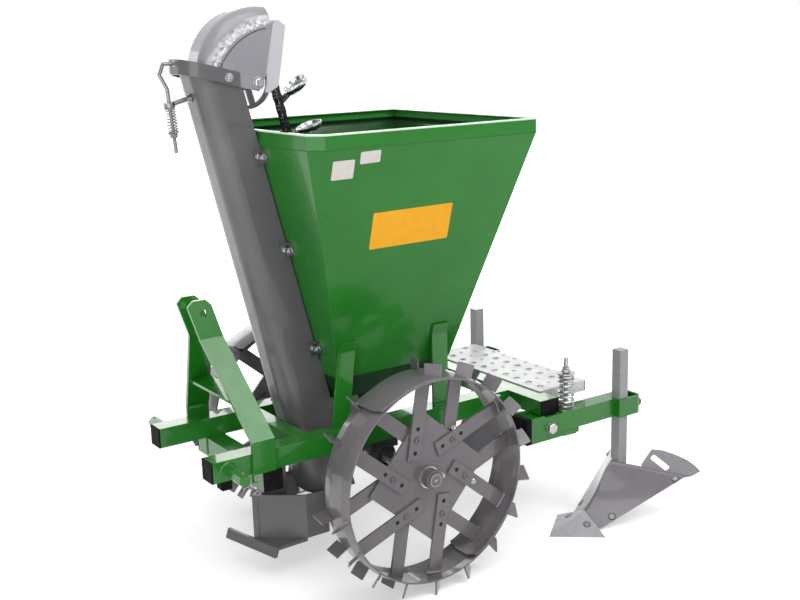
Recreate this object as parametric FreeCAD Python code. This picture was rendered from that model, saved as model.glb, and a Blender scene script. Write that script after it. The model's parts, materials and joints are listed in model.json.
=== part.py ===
"""Single-row potato planter for a tractor's three-point hitch.

Millimetres, +X forward to the tractor, +Y to the machine's left, +Z up.
The machine is laid out with the wheel axle above x = 0 and the ground at z = 0,
and every piece is moved at the end so that the origin is the bottom centre of the whole.
"""
import FreeCAD, Part
import math
import os

os.makedirs("parts", exist_ok=True)
V = FreeCAD.Vector

# ---- driving dimensions -------------------------------------------------------------
# ground wheels
lug_tip_radius = 288.0
lug_height = 31.0
lug_width = 40.0
lug_thickness = 4.0
lug_steps = 18
outer_lug_start_deg = 10.0
outer_lug_skew_deg = -45.0
outer_lug_gaps = (5, 6, 7, 8)
inner_lug_start_deg = 10.0
inner_lug_skew_deg = 12.0
inner_lug_gaps = (3, 5, 8, 13, 15)
lug_offset_y = 36.0
rim_width = 101.0
rim_thickness = 4.0
rim_edge_width = 26.0
rim_edge_drop = 5.0
wheel_centre_y = 341.0
centre_plate_side = 238.0
centre_plate_turn_deg = 3.5
wheel_plate_thickness = 6.0
spoke_width = 36.0
spoke_offset = 52.0
spoke_start = 44.0
spoke_turn_deg = 20.0
spoke_count = 6
spoke_end_gap = 0.2
hub_radius = 24.0
hub_inner_length = 22.0
hub_outer_length = 29.0
axle_radius = 15.0
axle_fit = 0.05
axle_collar_radius = 22.0
axle_collar_length = 9.0
axle_end_ring = 3.0
axle_end_gap = 0.4

# longitudinal frame beams
beam_size = 50.0
beam_wall = 4.0
beam_centre_y = 150.0
beam_top_z = 383.0
beam_front_x = 476.0
cap_thickness = 4.0
cap_gap = 0.0

# cross members
rear_beam_depth = 60.0
rear_beam_height = 40.0
rear_beam_front_x = -395.0
rear_beam_half_length = 305.0
front_cross_front_x = 352.0
front_cross_half_length = 178.0
middle_cross_depth = 40.0

# headstock
headstock_bar_width = 60.0
headstock_bar_thickness = 8.0
headstock_foot_front_x = 378.0
headstock_bend_z = 412.0
headstock_ear_bend_z = 636.0
headstock_ear_top_z = 730.0
headstock_ear_gap = 52.0
headstock_lean = 0.2
ear_lean = 0.27
ear_round = 14.0
top_link_hole_radius = 9.8
top_link_hole_z = 697.0
brace_z = 492.0
brace_depth = 45.0
brace_thickness = 8.0
brace_tilt_deg = 13.0
spacer_depth = 34.0

# lower hitch pins
hitch_pin_radius = 11.0
hitch_pin_length = 85.0
hitch_collar_radius = 17.0
hitch_collar_length = 8.0
hitch_pin_x = 438.0

# elevator
tube_lean_run = 236.0
top_shaft_x = 248.0
top_shaft_z = 1221.0
sprocket_radius = 62.0
sprocket_thickness = 10.0
sprocket_ring = 9.0
sprocket_hub_radius = 18.0
sprocket_arm_count = 4
sprocket_arm_width = 12.0
chain_thickness = 12.0
chain_width = 18.0
top_shaft_radius = 8.0
shaft_room = 1.0
shaft_fit = 0.3
chain_fit = 0.3
cup_radius = 33.0
cup_depth = 14.0
cup_wall = 3.0
cup_arm = 24.0
cup_pitch = 120.0
first_cup = 88.0
cup_count = 8
tube_width = 120.0
tube_rear = 52.0
tube_depth_low = 124.0
tube_depth_high = 103.0
tube_wall = 3.0
tube_corner_radius = 42.0
tube_bottom = -98.0
tube_outlet_z = 185.0
wall_slot_width = 34.0
wall_slot_margin = 8.0
clamp_heights = (1067.0, 840.0, 585.0)
clamp_length = 36.0

# hood over the top sprocket
hood_centre_x = 228.0
hood_centre_z = 1236.0
hood_radius = 157.0
hood_corner_radius = 38.0
hood_rear_x = 212.0
hood_overlap_x = 340.0
hood_wall = 2.5
hood_flange_width = 30.0
hood_flange_corner = 16.0
hood_flange_top = (202.0, 1360.0)
hood_flange_foot_x = 232.0
band_height = 33.0
band_thickness = 4.0
band_corner_radius = 50.0
band_front_x = 426.0
band_rear_x = 296.0
band_rear_z = 1214.0
band_slope = 0.25

# tension rod in front of the tube
rod_radius = 4.0
rod_fit = 0.5
rod_bottom = (434.0, 1071.0)
rod_knee = (446.0, 1215.0)
rod_bulge = (462.0, 1246.0)
rod_hook_top = (452.0, 1270.0)
eye_bar_z = 1193.0
eye_bar_length = 70.0
eye_bar_radius = 5.0
eye_radius = 12.0
tension_spring_radius = 11.0
tension_spring_length = 60.0

# hopper
hopper_wall = 2.0
hopper_rim_top_z = 1114.0
hopper_rim_height = 35.0
hopper_rear_x = -377.0
hopper_half_width = 308.0
hopper_bottom_z = 500.0
hopper_rear_slope = 0.248
hopper_side_slope = 0.313
hopper_lip = 12.0
hopper_corner_cut = 30.0
hopper_corner_end_z = 760.0
boot_bottom_z = 425.0
boot_bottom_rear_x = -150.0
boot_bottom_half_width = 62.0
boot_front_inset = 12.0
chain_slot_margin = 8.0

# hopper supports, flat bars on the frame beams
support_width = 48.0
support_thickness = 6.0
support_foot_x = (97.0, -208.0)
support_lean_back = 28.0
support_top_z = 600.0

# furrow opener
opener_nose_x = 297.0
opener_half_width = 86.0
opener_nose_length = 107.0
opener_rear_x = 125.0
opener_top_z = 203.0
opener_bottom_z = 88.0
opener_plate = 5.0
share_half_width = 96.0
share_front_x = 312.0
share_front_z = 65.0
share_heel_x = 303.0
share_heel_z = 88.0
share_thickness = 8.0
share_skew_deg = 13.0
shank_thickness = 20.0
shank_foot_width = 74.0
shank_foot_z = 240.0

# foot plate behind the hopper
foot_plate_depth = 165.0
foot_plate_half_width = 245.0
foot_plate_thickness = 3.0
foot_plate_flange = 30.0
foot_plate_overlap = 10.0

# ridgers
row_half_spacing = 312.5
ridger_arm_size = 50.0
ridger_arm_centre_y = 290.0
ridger_arm_top_z = 340.0
ridger_bracket_front_x = -350.0
ridger_bracket_rear_x = -515.0
ridger_bracket_hump_z = 348.0
ridger_bracket_cap = 16.0
ridger_plate = 6.0
ridger_side_gap = 1.5
pivot_x = -415.0
pivot_z = 312.0
pivot_radius = 8.0
spring_rod_x = -497.0
spring_rod_radius = 6.0
spring_rod_top_z = 480.0
arm_spring_radius = 23.5
arm_spring_top_z = 436.0
tine_size = 30.0
tine_x = -675.0
tine_top_z = 476.0
tine_bottom_z = 60.0
holder_wall = 6.0
holder_rear_x = -738.0
holder_corner_radius = 16.0
point_tip_x = -420.0
point_rear_x = -535.0
point_half_width = 95.0
point_top_x = -546.0
point_height = 44.0
ridge_curve = ((-648, 168), (-619, 145), (-608, 115), (-594, 95), (-583, 75), (-560, 54), (-542, 36))
ridge_lower_x = -552.0
ridge_lower_reach = 55.0
ridge_lower_z = 6.0
ridge_wing_x = -790.0
ridge_wing_reach = 142.0
ridge_wing_z = 126.0
ridger_sheet = 7.0
wing_outline = ((53.5, 156), (59.0, 190), (92.5, 181), (122.5, 164), (158.0, 135), (140.5, 124.5))
wing_slot = ((61.0, 174.5), (101.5, 144.0))
wing_slot_half_width = 6.0

# ---- derived values -----------------------------------------------------------------
wheel_z = lug_tip_radius
rim_radius = lug_tip_radius - lug_height
beam_bottom_z = beam_top_z - beam_size
beam_outer_y = beam_centre_y + beam_size / 2
beam_inner_y = beam_centre_y - beam_size / 2
rear_beam_rear_x = rear_beam_front_x - rear_beam_depth
rear_beam_bottom_z = beam_top_z - rear_beam_height
tube_lean = math.atan2(tube_lean_run, top_shaft_z - wheel_z)
tube_length = math.hypot(tube_lean_run, top_shaft_z - wheel_z)
elevator_slope = math.tan(tube_lean)
chain_lean = math.atan2(top_shaft_x, top_shaft_z - wheel_z)
chain_length = math.hypot(top_shaft_x, top_shaft_z - wheel_z)
tube_top = tube_length + tube_depth_high
rim_z = hopper_rim_top_z - hopper_rim_height


def tube_face_x(offset, z):
    """World x of a plane that leans with the tube, offset in front of the axle."""
    return elevator_slope * (z - wheel_z) + offset / math.cos(tube_lean)


def tube_point(offset, along):
    """World (x, z) of a point given in the tube's own leaning directions."""
    x = offset * math.cos(tube_lean) + along * math.sin(tube_lean)
    return x, wheel_z - offset * math.sin(tube_lean) + along * math.cos(tube_lean)


def tube_front_x(z):
    """World x of the tube's tapered front face at a height."""
    low = tube_point(tube_rear + tube_depth_low, tube_bottom)
    high = tube_point(tube_rear + tube_depth_high, tube_top)
    return low[0] + (high[0] - low[0]) * (z - low[1]) / (high[1] - low[1])


hopper_front_x = tube_face_x(tube_rear, rim_z)


# ---- helpers ------------------------------------------------------------------------
def box(x, y, z):
    """Box between the pairs (low, high) on each axis."""
    return Part.makeBox(x[1] - x[0], y[1] - y[0], z[1] - z[0], V(x[0], y[0], z[0]))


def prism(points, low, high, axis="y"):
    """Polygon extruded along an axis; its points are the other two coordinates."""
    place = {
        "x": lambda p: V(low, p[0], p[1]),
        "y": lambda p: V(p[0], low, p[1]),
        "z": lambda p: V(p[0], p[1], low),
    }[axis]
    along = {"x": V(1, 0, 0), "y": V(0, 1, 0), "z": V(0, 0, 1)}[axis]
    corners = [place(p) for p in points]
    return Part.Face(Part.makePolygon(corners + corners[:1])).extrude(along * (high - low))


def rod(start, end, radius):
    """Round bar between two points."""
    along = V(*end) - V(*start)
    return Part.makeCylinder(radius, along.Length, V(*start), along)


def mirrored(shape):
    """The same piece on the right-hand side."""
    return shape.mirror(V(0, 0, 0), V(0, 1, 0))


def solid_of(faces):
    """Closed solid from a list of corner loops."""
    made = []
    for loop in faces:
        corners = [V(*p) for p in loop]
        made.append(Part.Face(Part.makePolygon(corners + corners[:1])))
    solid = Part.Solid(Part.Shell(made))
    return solid if solid.Volume > 0 else solid.reversed()


def leaning(shape, angle):
    """Turn a piece built upright over the axle so that it leans forward."""
    turned = shape.copy()
    turned.rotate(V(0, 0, wheel_z), V(0, 1, 0), math.degrees(angle))
    return turned


def square_tube(x, y, z, wall, axis):
    """Hollow box section, open at both ends along the axis."""
    spans = {"x": x, "y": y, "z": z}
    inner = {k: (s[0] + wall, s[1] - wall) for k, s in spans.items()}
    inner[axis] = (spans[axis][0] - 1, spans[axis][1] + 1)
    return box(x, y, z).cut(box(inner["x"], inner["y"], inner["z"]))


nodes = {}


# ---- frame --------------------------------------------------------------------------
def make_frame():
    beam = square_tube(
        (rear_beam_front_x, beam_front_x),
        (beam_inner_y, beam_outer_y),
        (beam_bottom_z, beam_top_z),
        beam_wall,
        "x",
    )
    nodes["main_beam_left"] = beam
    nodes["main_beam_right"] = mirrored(beam)
    nodes["rear_cross_beam"] = square_tube(
        (rear_beam_rear_x, rear_beam_front_x),
        (-rear_beam_half_length, rear_beam_half_length),
        (rear_beam_bottom_z, beam_top_z),
        beam_wall,
        "y",
    )
    nodes["front_cross_tube"] = square_tube(
        (front_cross_front_x - beam_size, front_cross_front_x),
        (-front_cross_half_length, front_cross_half_length),
        (beam_bottom_z - beam_size, beam_bottom_z),
        beam_wall,
        "y",
    )
    middle_rear_x = tube_front_x(beam_top_z) + 1.0
    nodes["middle_cross_tube"] = square_tube(
        (middle_rear_x, middle_rear_x + middle_cross_depth),
        (-beam_inner_y, beam_inner_y),
        (beam_bottom_z, beam_top_z),
        beam_wall,
        "y",
    )
    return middle_rear_x


def make_caps():
    """Black plastic plugs on the open tube ends."""
    caps = []
    beam_cap = box(
        (beam_front_x, beam_front_x + cap_thickness),
        (beam_inner_y, beam_outer_y),
        (beam_bottom_z, beam_top_z),
    )
    cross_cap = box(
        (front_cross_front_x - beam_size, front_cross_front_x),
        (front_cross_half_length, front_cross_half_length + cap_thickness),
        (beam_bottom_z - beam_size, beam_bottom_z),
    )
    rear_cap = box(
        (rear_beam_rear_x, rear_beam_front_x),
        (rear_beam_half_length, rear_beam_half_length + cap_thickness),
        (rear_beam_bottom_z, beam_top_z),
    )
    bracket_half = ridger_arm_size / 2 + ridger_side_gap + ridger_plate
    bracket_cap = box(
        (ridger_bracket_front_x, ridger_bracket_front_x + ridger_bracket_cap),
        (ridger_arm_centre_y - bracket_half, ridger_arm_centre_y + bracket_half),
        (ridger_arm_top_z - ridger_arm_size - 4.0 - ridger_plate, ridger_bracket_hump_z),
    )
    for cap in (beam_cap, cross_cap, rear_cap, bracket_cap):
        caps += [cap, mirrored(cap)]
    nodes["end_caps"] = Part.makeCompound(caps)


def make_headstock():
    """Two bent flat bars that rise from the beams to the top-link ears."""
    foot_rear = headstock_foot_front_x - headstock_bar_width
    ear_inner = headstock_ear_gap / 2
    ear_outer = ear_inner + headstock_bar_thickness
    foot_outer = beam_outer_y + headstock_bar_thickness
    bend_rise = headstock_ear_bend_z - headstock_bend_z
    ear_rise = headstock_ear_top_z - headstock_ear_bend_z
    bend_x = headstock_foot_front_x + headstock_lean * bend_rise
    top_x = bend_x + ear_lean * ear_rise
    width = headstock_bar_width
    side = prism(
        [
            (foot_rear, beam_bottom_z),
            (headstock_foot_front_x, beam_bottom_z),
            (headstock_foot_front_x, headstock_bend_z),
            (bend_x, headstock_ear_bend_z),
            (top_x, headstock_ear_top_z - ear_round),
            (top_x - ear_round, headstock_ear_top_z),
            (top_x - width + ear_round, headstock_ear_top_z),
            (top_x - width, headstock_ear_top_z - ear_round),
            (bend_x - width, headstock_ear_bend_z),
            (foot_rear, headstock_bend_z),
        ],
        0,
        foot_outer + 1,
    )
    run_y = foot_outer - ear_outer
    slant = math.hypot(run_y, bend_rise)
    drop = headstock_bar_thickness * (slant - run_y) / bend_rise
    front = prism(
        [
            (beam_outer_y, beam_bottom_z),
            (foot_outer, beam_bottom_z),
            (foot_outer, headstock_bend_z),
            (ear_outer, headstock_ear_bend_z),
            (ear_outer, headstock_ear_top_z),
            (ear_inner, headstock_ear_top_z),
            (ear_inner, headstock_ear_bend_z - drop),
            (beam_outer_y, headstock_bend_z - drop),
        ],
        foot_rear - 1,
        top_x + 1,
        "x",
    )
    hole_x = top_x - width / 2 - ear_lean * (headstock_ear_top_z - top_link_hole_z)
    hole = rod((hole_x, 0, top_link_hole_z), (hole_x, foot_outer, top_link_hole_z), top_link_hole_radius)
    leg = side.common(front).cut(hole)
    nodes["headstock_leg_left"] = leg
    nodes["headstock_leg_right"] = mirrored(leg)

    # cross brace between the legs and the spacer under the ears
    share_up = (brace_z - headstock_bend_z) / bend_rise
    half = beam_outer_y + (ear_inner - beam_outer_y) * share_up + headstock_bar_thickness
    middle_x = headstock_foot_front_x - width / 2 + headstock_lean * (brace_z - headstock_bend_z)
    brace = box(
        (middle_x - brace_depth / 2, middle_x + brace_depth / 2),
        (-half, half),
        (brace_z, brace_z + brace_thickness),
    )
    spacer_x = bend_x - width / 2
    spacer = box(
        (spacer_x - spacer_depth / 2, spacer_x + spacer_depth / 2),
        (-ear_inner, ear_inner),
        (headstock_ear_bend_z, headstock_ear_bend_z + brace_thickness),
    )
    brace.rotate(V(middle_x, 0, brace_z), V(0, 1, 0), brace_tilt_deg)
    braces = Part.makeCompound([brace, spacer])
    for leg_node in ("headstock_leg_left", "headstock_leg_right"):
        braces = braces.cut(nodes[leg_node])
    nodes["headstock_braces"] = keep_inner(braces, half)
    return hole_x


def keep_inner(shape, half):
    """Only the solids whose centre lies within half of the middle plane's larger pieces."""
    kept = [s for s in shape.Solids if abs(s.CenterOfMass.y) < half / 4]
    return Part.makeCompound(kept)


def make_hitch_pins():
    centre_z = (beam_top_z + beam_bottom_z) / 2
    pin = rod(
        (hitch_pin_x, beam_outer_y, centre_z),
        (hitch_pin_x, beam_outer_y + hitch_pin_length, centre_z),
        hitch_pin_radius,
    )
    collar = rod(
        (hitch_pin_x, beam_outer_y, centre_z),
        (hitch_pin_x, beam_outer_y + hitch_collar_length, centre_z),
        hitch_collar_radius,
    )
    nodes["hitch_pin_left"] = pin.fuse(collar)
    nodes["hitch_pin_right"] = mirrored(nodes["hitch_pin_left"])


def make_foot_plate():
    front_x = rear_beam_rear_x + foot_plate_overlap
    rear_x = front_x - foot_plate_depth
    low_z = beam_top_z
    top_z = low_z + foot_plate_thickness
    half = foot_plate_half_width
    sheet = box((rear_x, front_x), (-half, half), (low_z, top_z))
    rear_flange = box(
        (rear_x, rear_x + foot_plate_thickness), (-half, half), (top_z - foot_plate_flange, top_z)
    )
    side_flange = box(
        (rear_x, rear_beam_rear_x - 1.0),
        (half - foot_plate_thickness, half),
        (top_z - foot_plate_flange, top_z),
    )
    nodes["foot_plate"] = sheet.fuse([rear_flange, side_flange, mirrored(side_flange)]).removeSplitter()


# ---- hopper -------------------------------------------------------------------------
def hopper_section(z, inset):
    """Outline of the hopper's outside at a height, drawn in by an inset.

    The two front corners are folded across, widest at the rim.
    """
    fall = max(rim_z - z, 0.0)
    front = hopper_front_x - elevator_slope * fall - inset
    rear = hopper_rear_x + hopper_rear_slope * fall + inset
    half = hopper_half_width - hopper_side_slope * fall - inset
    cut = max(hopper_corner_cut * (1 - fall / (rim_z - hopper_corner_end_z)), 0.5)
    points = [
        (rear, -half),
        (front - cut, -half),
        (front, cut - half),
        (front, half - cut),
        (front - cut, half),
        (rear, half),
    ]
    corners = [V(x, y, z) for x, y in points]
    return Part.makePolygon(corners + corners[:1])


def rectangle(rear, front, half, z):
    corners = [V(rear, -half, z), V(front, -half, z), V(front, half, z), V(rear, half, z)]
    return Part.makePolygon(corners + corners[:1])


def make_hopper():
    def block(inset, heights):
        stages = []
        for low, high in zip(heights, heights[1:]):
            ends = [hopper_section(low, inset), hopper_section(high, inset)]
            stages.append(Part.makeLoft(ends, True, True))
        return stages[0].fuse(stages[1:])

    mouth_z = hopper_rim_top_z - hopper_wall
    outside = block(0.0, (hopper_bottom_z, hopper_corner_end_z, rim_z, hopper_rim_top_z))
    hollow = block(hopper_wall, (hopper_bottom_z, hopper_corner_end_z, rim_z, mouth_z))
    mouth = block(hopper_lip, (mouth_z, hopper_rim_top_z))
    nodes["hopper"] = outside.cut(hollow).cut(mouth)

    # boot under the hopper, where the cups pick the potatoes up
    front_top = hopper_front_x - elevator_slope * (rim_z - hopper_bottom_z)
    front_low = tube_face_x(tube_rear, boot_bottom_z) - boot_front_inset
    rear_top = hopper_rear_x + hopper_rear_slope * (rim_z - hopper_bottom_z)
    half_top = hopper_half_width - hopper_side_slope * (rim_z - hopper_bottom_z)

    def boot_block(inset):
        low = rectangle(
            boot_bottom_rear_x + inset,
            front_low - inset,
            boot_bottom_half_width - inset,
            boot_bottom_z + inset,
        )
        high = rectangle(rear_top + inset, front_top - inset, half_top - inset, hopper_bottom_z)
        return Part.makeLoft([low, high], True, True)

    cup_reach = sprocket_radius + chain_thickness + cup_arm + 2 * cup_radius + chain_slot_margin
    slot = box(
        (
            max(tube_face_x(-cup_reach, boot_bottom_z), boot_bottom_rear_x + chain_slot_margin),
            tube_face_x(-sprocket_radius + chain_slot_margin, boot_bottom_z),
        ),
        (-cup_radius - chain_slot_margin, cup_radius + chain_slot_margin),
        (boot_bottom_z - 1, boot_bottom_z + 2 * hopper_wall),
    )
    nodes["hopper_boot"] = boot_block(0.0).cut(boot_block(hopper_wall)).cut(slot)


def wall_y(z):
    """Outside of the hopper's side wall at a height."""
    return hopper_half_width - hopper_side_slope * (rim_z - z)


def make_supports():
    """Flat bars from the beams up to the hopper's sides, their tops bent along the wall.

    The front pair leans back a little, the rear pair stands upright.
    """
    foot_y = beam_centre_y
    touch_z = rim_z - (hopper_half_width - foot_y) / hopper_side_slope
    slant = math.hypot(1.0, hopper_side_slope)
    outline = [
        (foot_y, beam_top_z),
        (foot_y + support_thickness, beam_top_z),
        (foot_y + support_thickness, touch_z - support_thickness * (slant - 1) / hopper_side_slope),
        (wall_y(support_top_z) + support_thickness * slant, support_top_z),
        (wall_y(support_top_z), support_top_z),
        (foot_y, touch_z),
    ]
    bars = []
    for foot_x, lean_back in zip(support_foot_x, (support_lean_back, 0.0)):
        side = prism(
            [
                (foot_x, beam_top_z),
                (foot_x + support_width, beam_top_z),
                (foot_x + support_width - lean_back, support_top_z),
                (foot_x - lean_back, support_top_z),
            ],
            0,
            hopper_half_width,
        )
        bar = prism(outline, foot_x - support_width, foot_x + 2 * support_width, "x").common(side)
        bars += [bar, mirrored(bar)]
    nodes["hopper_supports"] = Part.makeCompound(bars)


# ---- elevator -----------------------------------------------------------------------
def rounded_outline(low, high, half, corner, z):
    """Closed outline at one level, its two front corners rounded."""
    bulge = corner * (1 - math.sqrt(0.5))
    left_arc = Part.Arc(
        V(high - corner, half, z), V(high - bulge, half - bulge, z), V(high, half - corner, z)
    )
    right_arc = Part.Arc(
        V(high, corner - half, z), V(high - bulge, bulge - half, z), V(high - corner, -half, z)
    )
    pieces = [
        Part.LineSegment(V(low, -half, z), V(low, half, z)),
        Part.LineSegment(V(low, half, z), V(high - corner, half, z)),
        left_arc,
        Part.LineSegment(V(high, half - corner, z), V(high, corner - half, z)),
        right_arc,
        Part.LineSegment(V(high - corner, -half, z), V(low, -half, z)),
    ]
    return Part.Wire([piece.toShape() for piece in pieces])


def tapered_channel(inset, extra):
    """The tube's block before it leans, deeper at the foot than at the top."""
    outlines = []
    for along, depth in ((tube_bottom, tube_depth_low), (tube_top, tube_depth_high)):
        outlines.append(
            rounded_outline(
                tube_rear + inset,
                tube_rear + depth - inset,
                tube_width / 2 - inset,
                tube_corner_radius - inset,
                wheel_z + along + (extra if along == tube_top else -extra),
            )
        )
    return Part.makeLoft(outlines, True, True)


def band_line(x):
    """Height of the band's lower edge."""
    return band_rear_z + band_slope * (x - band_rear_x)


def top_shaft_hole(room):
    """Round bar a little larger than the top shaft, for the holes it passes through."""
    far = tube_width
    return rod((top_shaft_x, -far, top_shaft_z), (top_shaft_x, far, top_shaft_z), top_shaft_radius + room)


def make_elevator_tube():
    tube = tapered_channel(0.0, 0.0).cut(tapered_channel(tube_wall, 1.0))
    tube = leaning(tube, tube_lean)
    # slots in the rear wall that let both sprockets and the chain through
    reach = sprocket_radius + chain_thickness + wall_slot_margin
    for x, z in ((0.0, wheel_z), (top_shaft_x, top_shaft_z)):
        room = rod((x, -wall_slot_width / 2, z), (x, wall_slot_width / 2, z), reach)
        tube = tube.cut(room)
    far = 1000.0
    above = prism(
        [
            (-far, band_line(-far) + band_height / 2),
            (far, band_line(far) + band_height / 2),
            (far, band_line(far) + 2 * far),
            (-far, band_line(far) + 2 * far),
        ],
        -far,
        far,
    )
    below = box((-far, far), (-far, far), (-far, tube_outlet_z))
    nodes["elevator_tube"] = tube.cut(above).cut(below).cut(top_shaft_hole(shaft_room))


def make_hood():
    """Rounded elbow over the top sprocket, with flat sides and turned-out rear edges."""
    half = tube_width / 2 + hood_wall

    def elbow(radius, half_width, corner):
        outline = rounded_outline(0, radius, half_width, corner, 0)
        swept = Part.Face(outline).revolve(V(0, 0, 0), V(0, 1, 0), -180)
        swept.rotate(V(0, 0, 0), V(0, 1, 0), 60)
        swept.translate(V(hood_centre_x, 0, hood_centre_z))
        return swept

    shell = elbow(hood_radius, half, hood_corner_radius).cut(
        elbow(hood_radius - hood_wall, half - hood_wall, hood_corner_radius - hood_wall)
    )
    middle = band_height / 2
    foot = (hood_flange_foot_x, band_line(hood_flange_foot_x))
    reach = hood_centre_x + hood_radius + 30
    top_z = hood_centre_z + hood_radius + 30
    window = prism(
        [
            foot,
            hood_flange_top,
            (hood_rear_x, hood_flange_top[1]),
            (hood_rear_x, top_z),
            (reach, top_z),
            (reach, band_line(reach) + middle),
            (hood_overlap_x, band_line(hood_overlap_x) + middle),
            (hood_overlap_x, band_line(hood_overlap_x)),
        ],
        -half - 1,
        half + 1,
    )
    hood = shell.common(window)
    # turned-out flanges along the rear edges of the flat sides, their outer corners cut off
    run = hood_flange_width * math.sin(math.pi / 4)
    thick = hood_wall * math.sqrt(2)
    outline = [(0, half - thick), (0, half), (-run, half + run), (-run, half + run - thick)]
    corners = [V(foot[0] + p[0], p[1], foot[1]) for p in outline]
    face = Part.Face(Part.makePolygon(corners + corners[:1]))
    rise = hood_flange_top[1] - foot[1]
    flange = face.extrude(V(hood_flange_top[0] - foot[0], 0, rise))
    edge_y = half + run
    cut = hood_flange_corner
    for z, turn in ((foot[1], 1), (hood_flange_top[1], -1)):
        corner = prism(
            [(edge_y - cut, z - turn), (edge_y + 1, z - turn), (edge_y + 1, z + turn * cut)],
            foot[0] - 2 * hood_flange_width - 30,
            foot[0] + 30,
            "x",
        )
        flange = flange.cut(corner)
    hood = hood.fuse([flange, mirrored(flange)]).removeSplitter()
    nodes["elevator_hood"] = hood.cut(top_shaft_hole(shaft_room))


def make_band():
    """Flat bar bent round the joint of tube and hood."""
    inner = tube_width / 2 + hood_wall
    outer = inner + band_thickness
    low_z = band_line(band_rear_x) - 50
    outside = Part.Face(rounded_outline(band_rear_x, band_front_x, outer, band_corner_radius, low_z))
    inside = Part.Face(
        rounded_outline(
            band_rear_x - 1,
            band_front_x - band_thickness,
            inner,
            band_corner_radius - band_thickness,
            low_z - 1,
        )
    )
    ring = outside.extrude(V(0, 0, 400)).cut(inside.extrude(V(0, 0, 402)))
    strip = prism(
        [
            (band_rear_x, band_line(band_rear_x)),
            (band_front_x, band_line(band_front_x)),
            (band_front_x, band_line(band_front_x) + band_height),
            (band_rear_x, band_line(band_rear_x) + band_height),
        ],
        -outer,
        outer,
    )
    nodes["hood_band"] = ring.common(strip)


def make_tension_rod():
    """Hooked rod, its compression spring and the eye bolt that it passes through."""
    hook_end = (band_front_x, rod_hook_top[1])
    path = [rod_bottom, rod_knee, rod_bulge, rod_hook_top, hook_end]
    bends = []
    for start, end in zip(path, path[1:]):
        bends.append(rod((start[0], 0, start[1]), (end[0], 0, end[1]), rod_radius))
        bends.append(Part.makeSphere(rod_radius, V(end[0], 0, end[1])))
    low = V(rod_bottom[0], 0, rod_bottom[1])
    along = V(rod_knee[0], 0, rod_knee[1]) - low
    along.normalize()

    # the eye bolt stands square out of the tube's front wall
    root = V(tube_front_x(eye_bar_z), 0, eye_bar_z)
    out = V(math.cos(tube_lean), 0, -math.sin(tube_lean))
    step = root - low
    eye = low + along * ((step.x * out.z - step.z * out.x) / (along.x * out.z - along.z * out.x))
    shank = rod(tuple(root - out * 4), tuple(eye), eye_bar_radius)
    ring = Part.makeCylinder(eye_radius, 2 * eye_bar_radius, eye - along * eye_bar_radius, along)
    room = Part.makeCylinder(rod_radius + rod_fit, 80, eye - along * 40, along)
    nodes["rod_eye_bar"] = shank.fuse(ring).cut(room).cut(leaning(tapered_channel(0.0, 0.0), tube_lean))

    spring_top = eye - along * eye_bar_radius
    spring_low = spring_top - along * tension_spring_length
    nut = Part.makeCylinder(7.0, 9.0, spring_low - along * 9.0, along)
    nodes["tension_rod"] = bends[0].fuse(bends[1:] + [nut]).cut(leaning_band_wall())
    sleeve = Part.makeCylinder(tension_spring_radius, tension_spring_length, spring_low, along)
    hole = Part.makeCylinder(
        tension_spring_radius - 3.0, tension_spring_length + 2, spring_low - along, along
    )
    nodes["tension_spring"] = sleeve.cut(hole)


def leaning_band_wall():
    """The band's front wall as a plain block, where the rod's hook ends against it."""
    return box((band_front_x - 30, band_front_x), (-20, 20), (rod_hook_top[1] - 30, rod_hook_top[1] + 30))





def make_tube_clamps():
    """Small angle clamps that hold the tube to the hopper's front wall."""
    clamps = []
    for height in clamp_heights:
        along = (height - wheel_z) / math.cos(tube_lean)
        z = (wheel_z + along - clamp_length / 2, wheel_z + along + clamp_length / 2)
        cheek = box((tube_rear, tube_rear + 22), (tube_width / 2, tube_width / 2 + 3), z)
        tab = box((tube_rear, tube_rear + 3), (tube_width / 2, tube_width / 2 + 26), z)
        clamp = leaning(cheek.fuse(tab).removeSplitter(), tube_lean)
        clamps += [clamp, mirrored(clamp)]
    nodes["tube_clamps"] = Part.makeCompound(clamps)


def racetrack(radius, half_width):
    """Upright block with round ends over the axle and the top shaft."""
    low = wheel_z
    high = wheel_z + chain_length
    middle = box((-radius, radius), (-half_width, half_width), (low, high))
    ends = []
    for z in (low, high):
        ends.append(rod((0, -half_width, z), (0, half_width, z), radius))
    return middle.fuse(ends).removeSplitter()


def sprocket_disc(z, hub_radius_used):
    """Toothless ring with arms and a hub, about the line at a height."""
    half = sprocket_thickness / 2
    ring = rod((0, -half, z), (0, half, z), sprocket_radius)
    ring = ring.cut(rod((0, -half - 1, z), (0, half + 1, z), sprocket_radius - sprocket_ring))
    hub = rod((0, -half, z), (0, half, z), hub_radius_used)
    arms = []
    for index in range(sprocket_arm_count):
        arm = box(
            (hub_radius_used - 3, sprocket_radius - sprocket_ring + 2),
            (-half, half),
            (z - sprocket_arm_width / 2, z + sprocket_arm_width / 2),
        )
        arm.rotate(V(0, 0, z), V(0, 1, 0), 360.0 / sprocket_arm_count * index)
        arms.append(arm)
    return ring.fuse([hub] + arms).removeSplitter()


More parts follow.
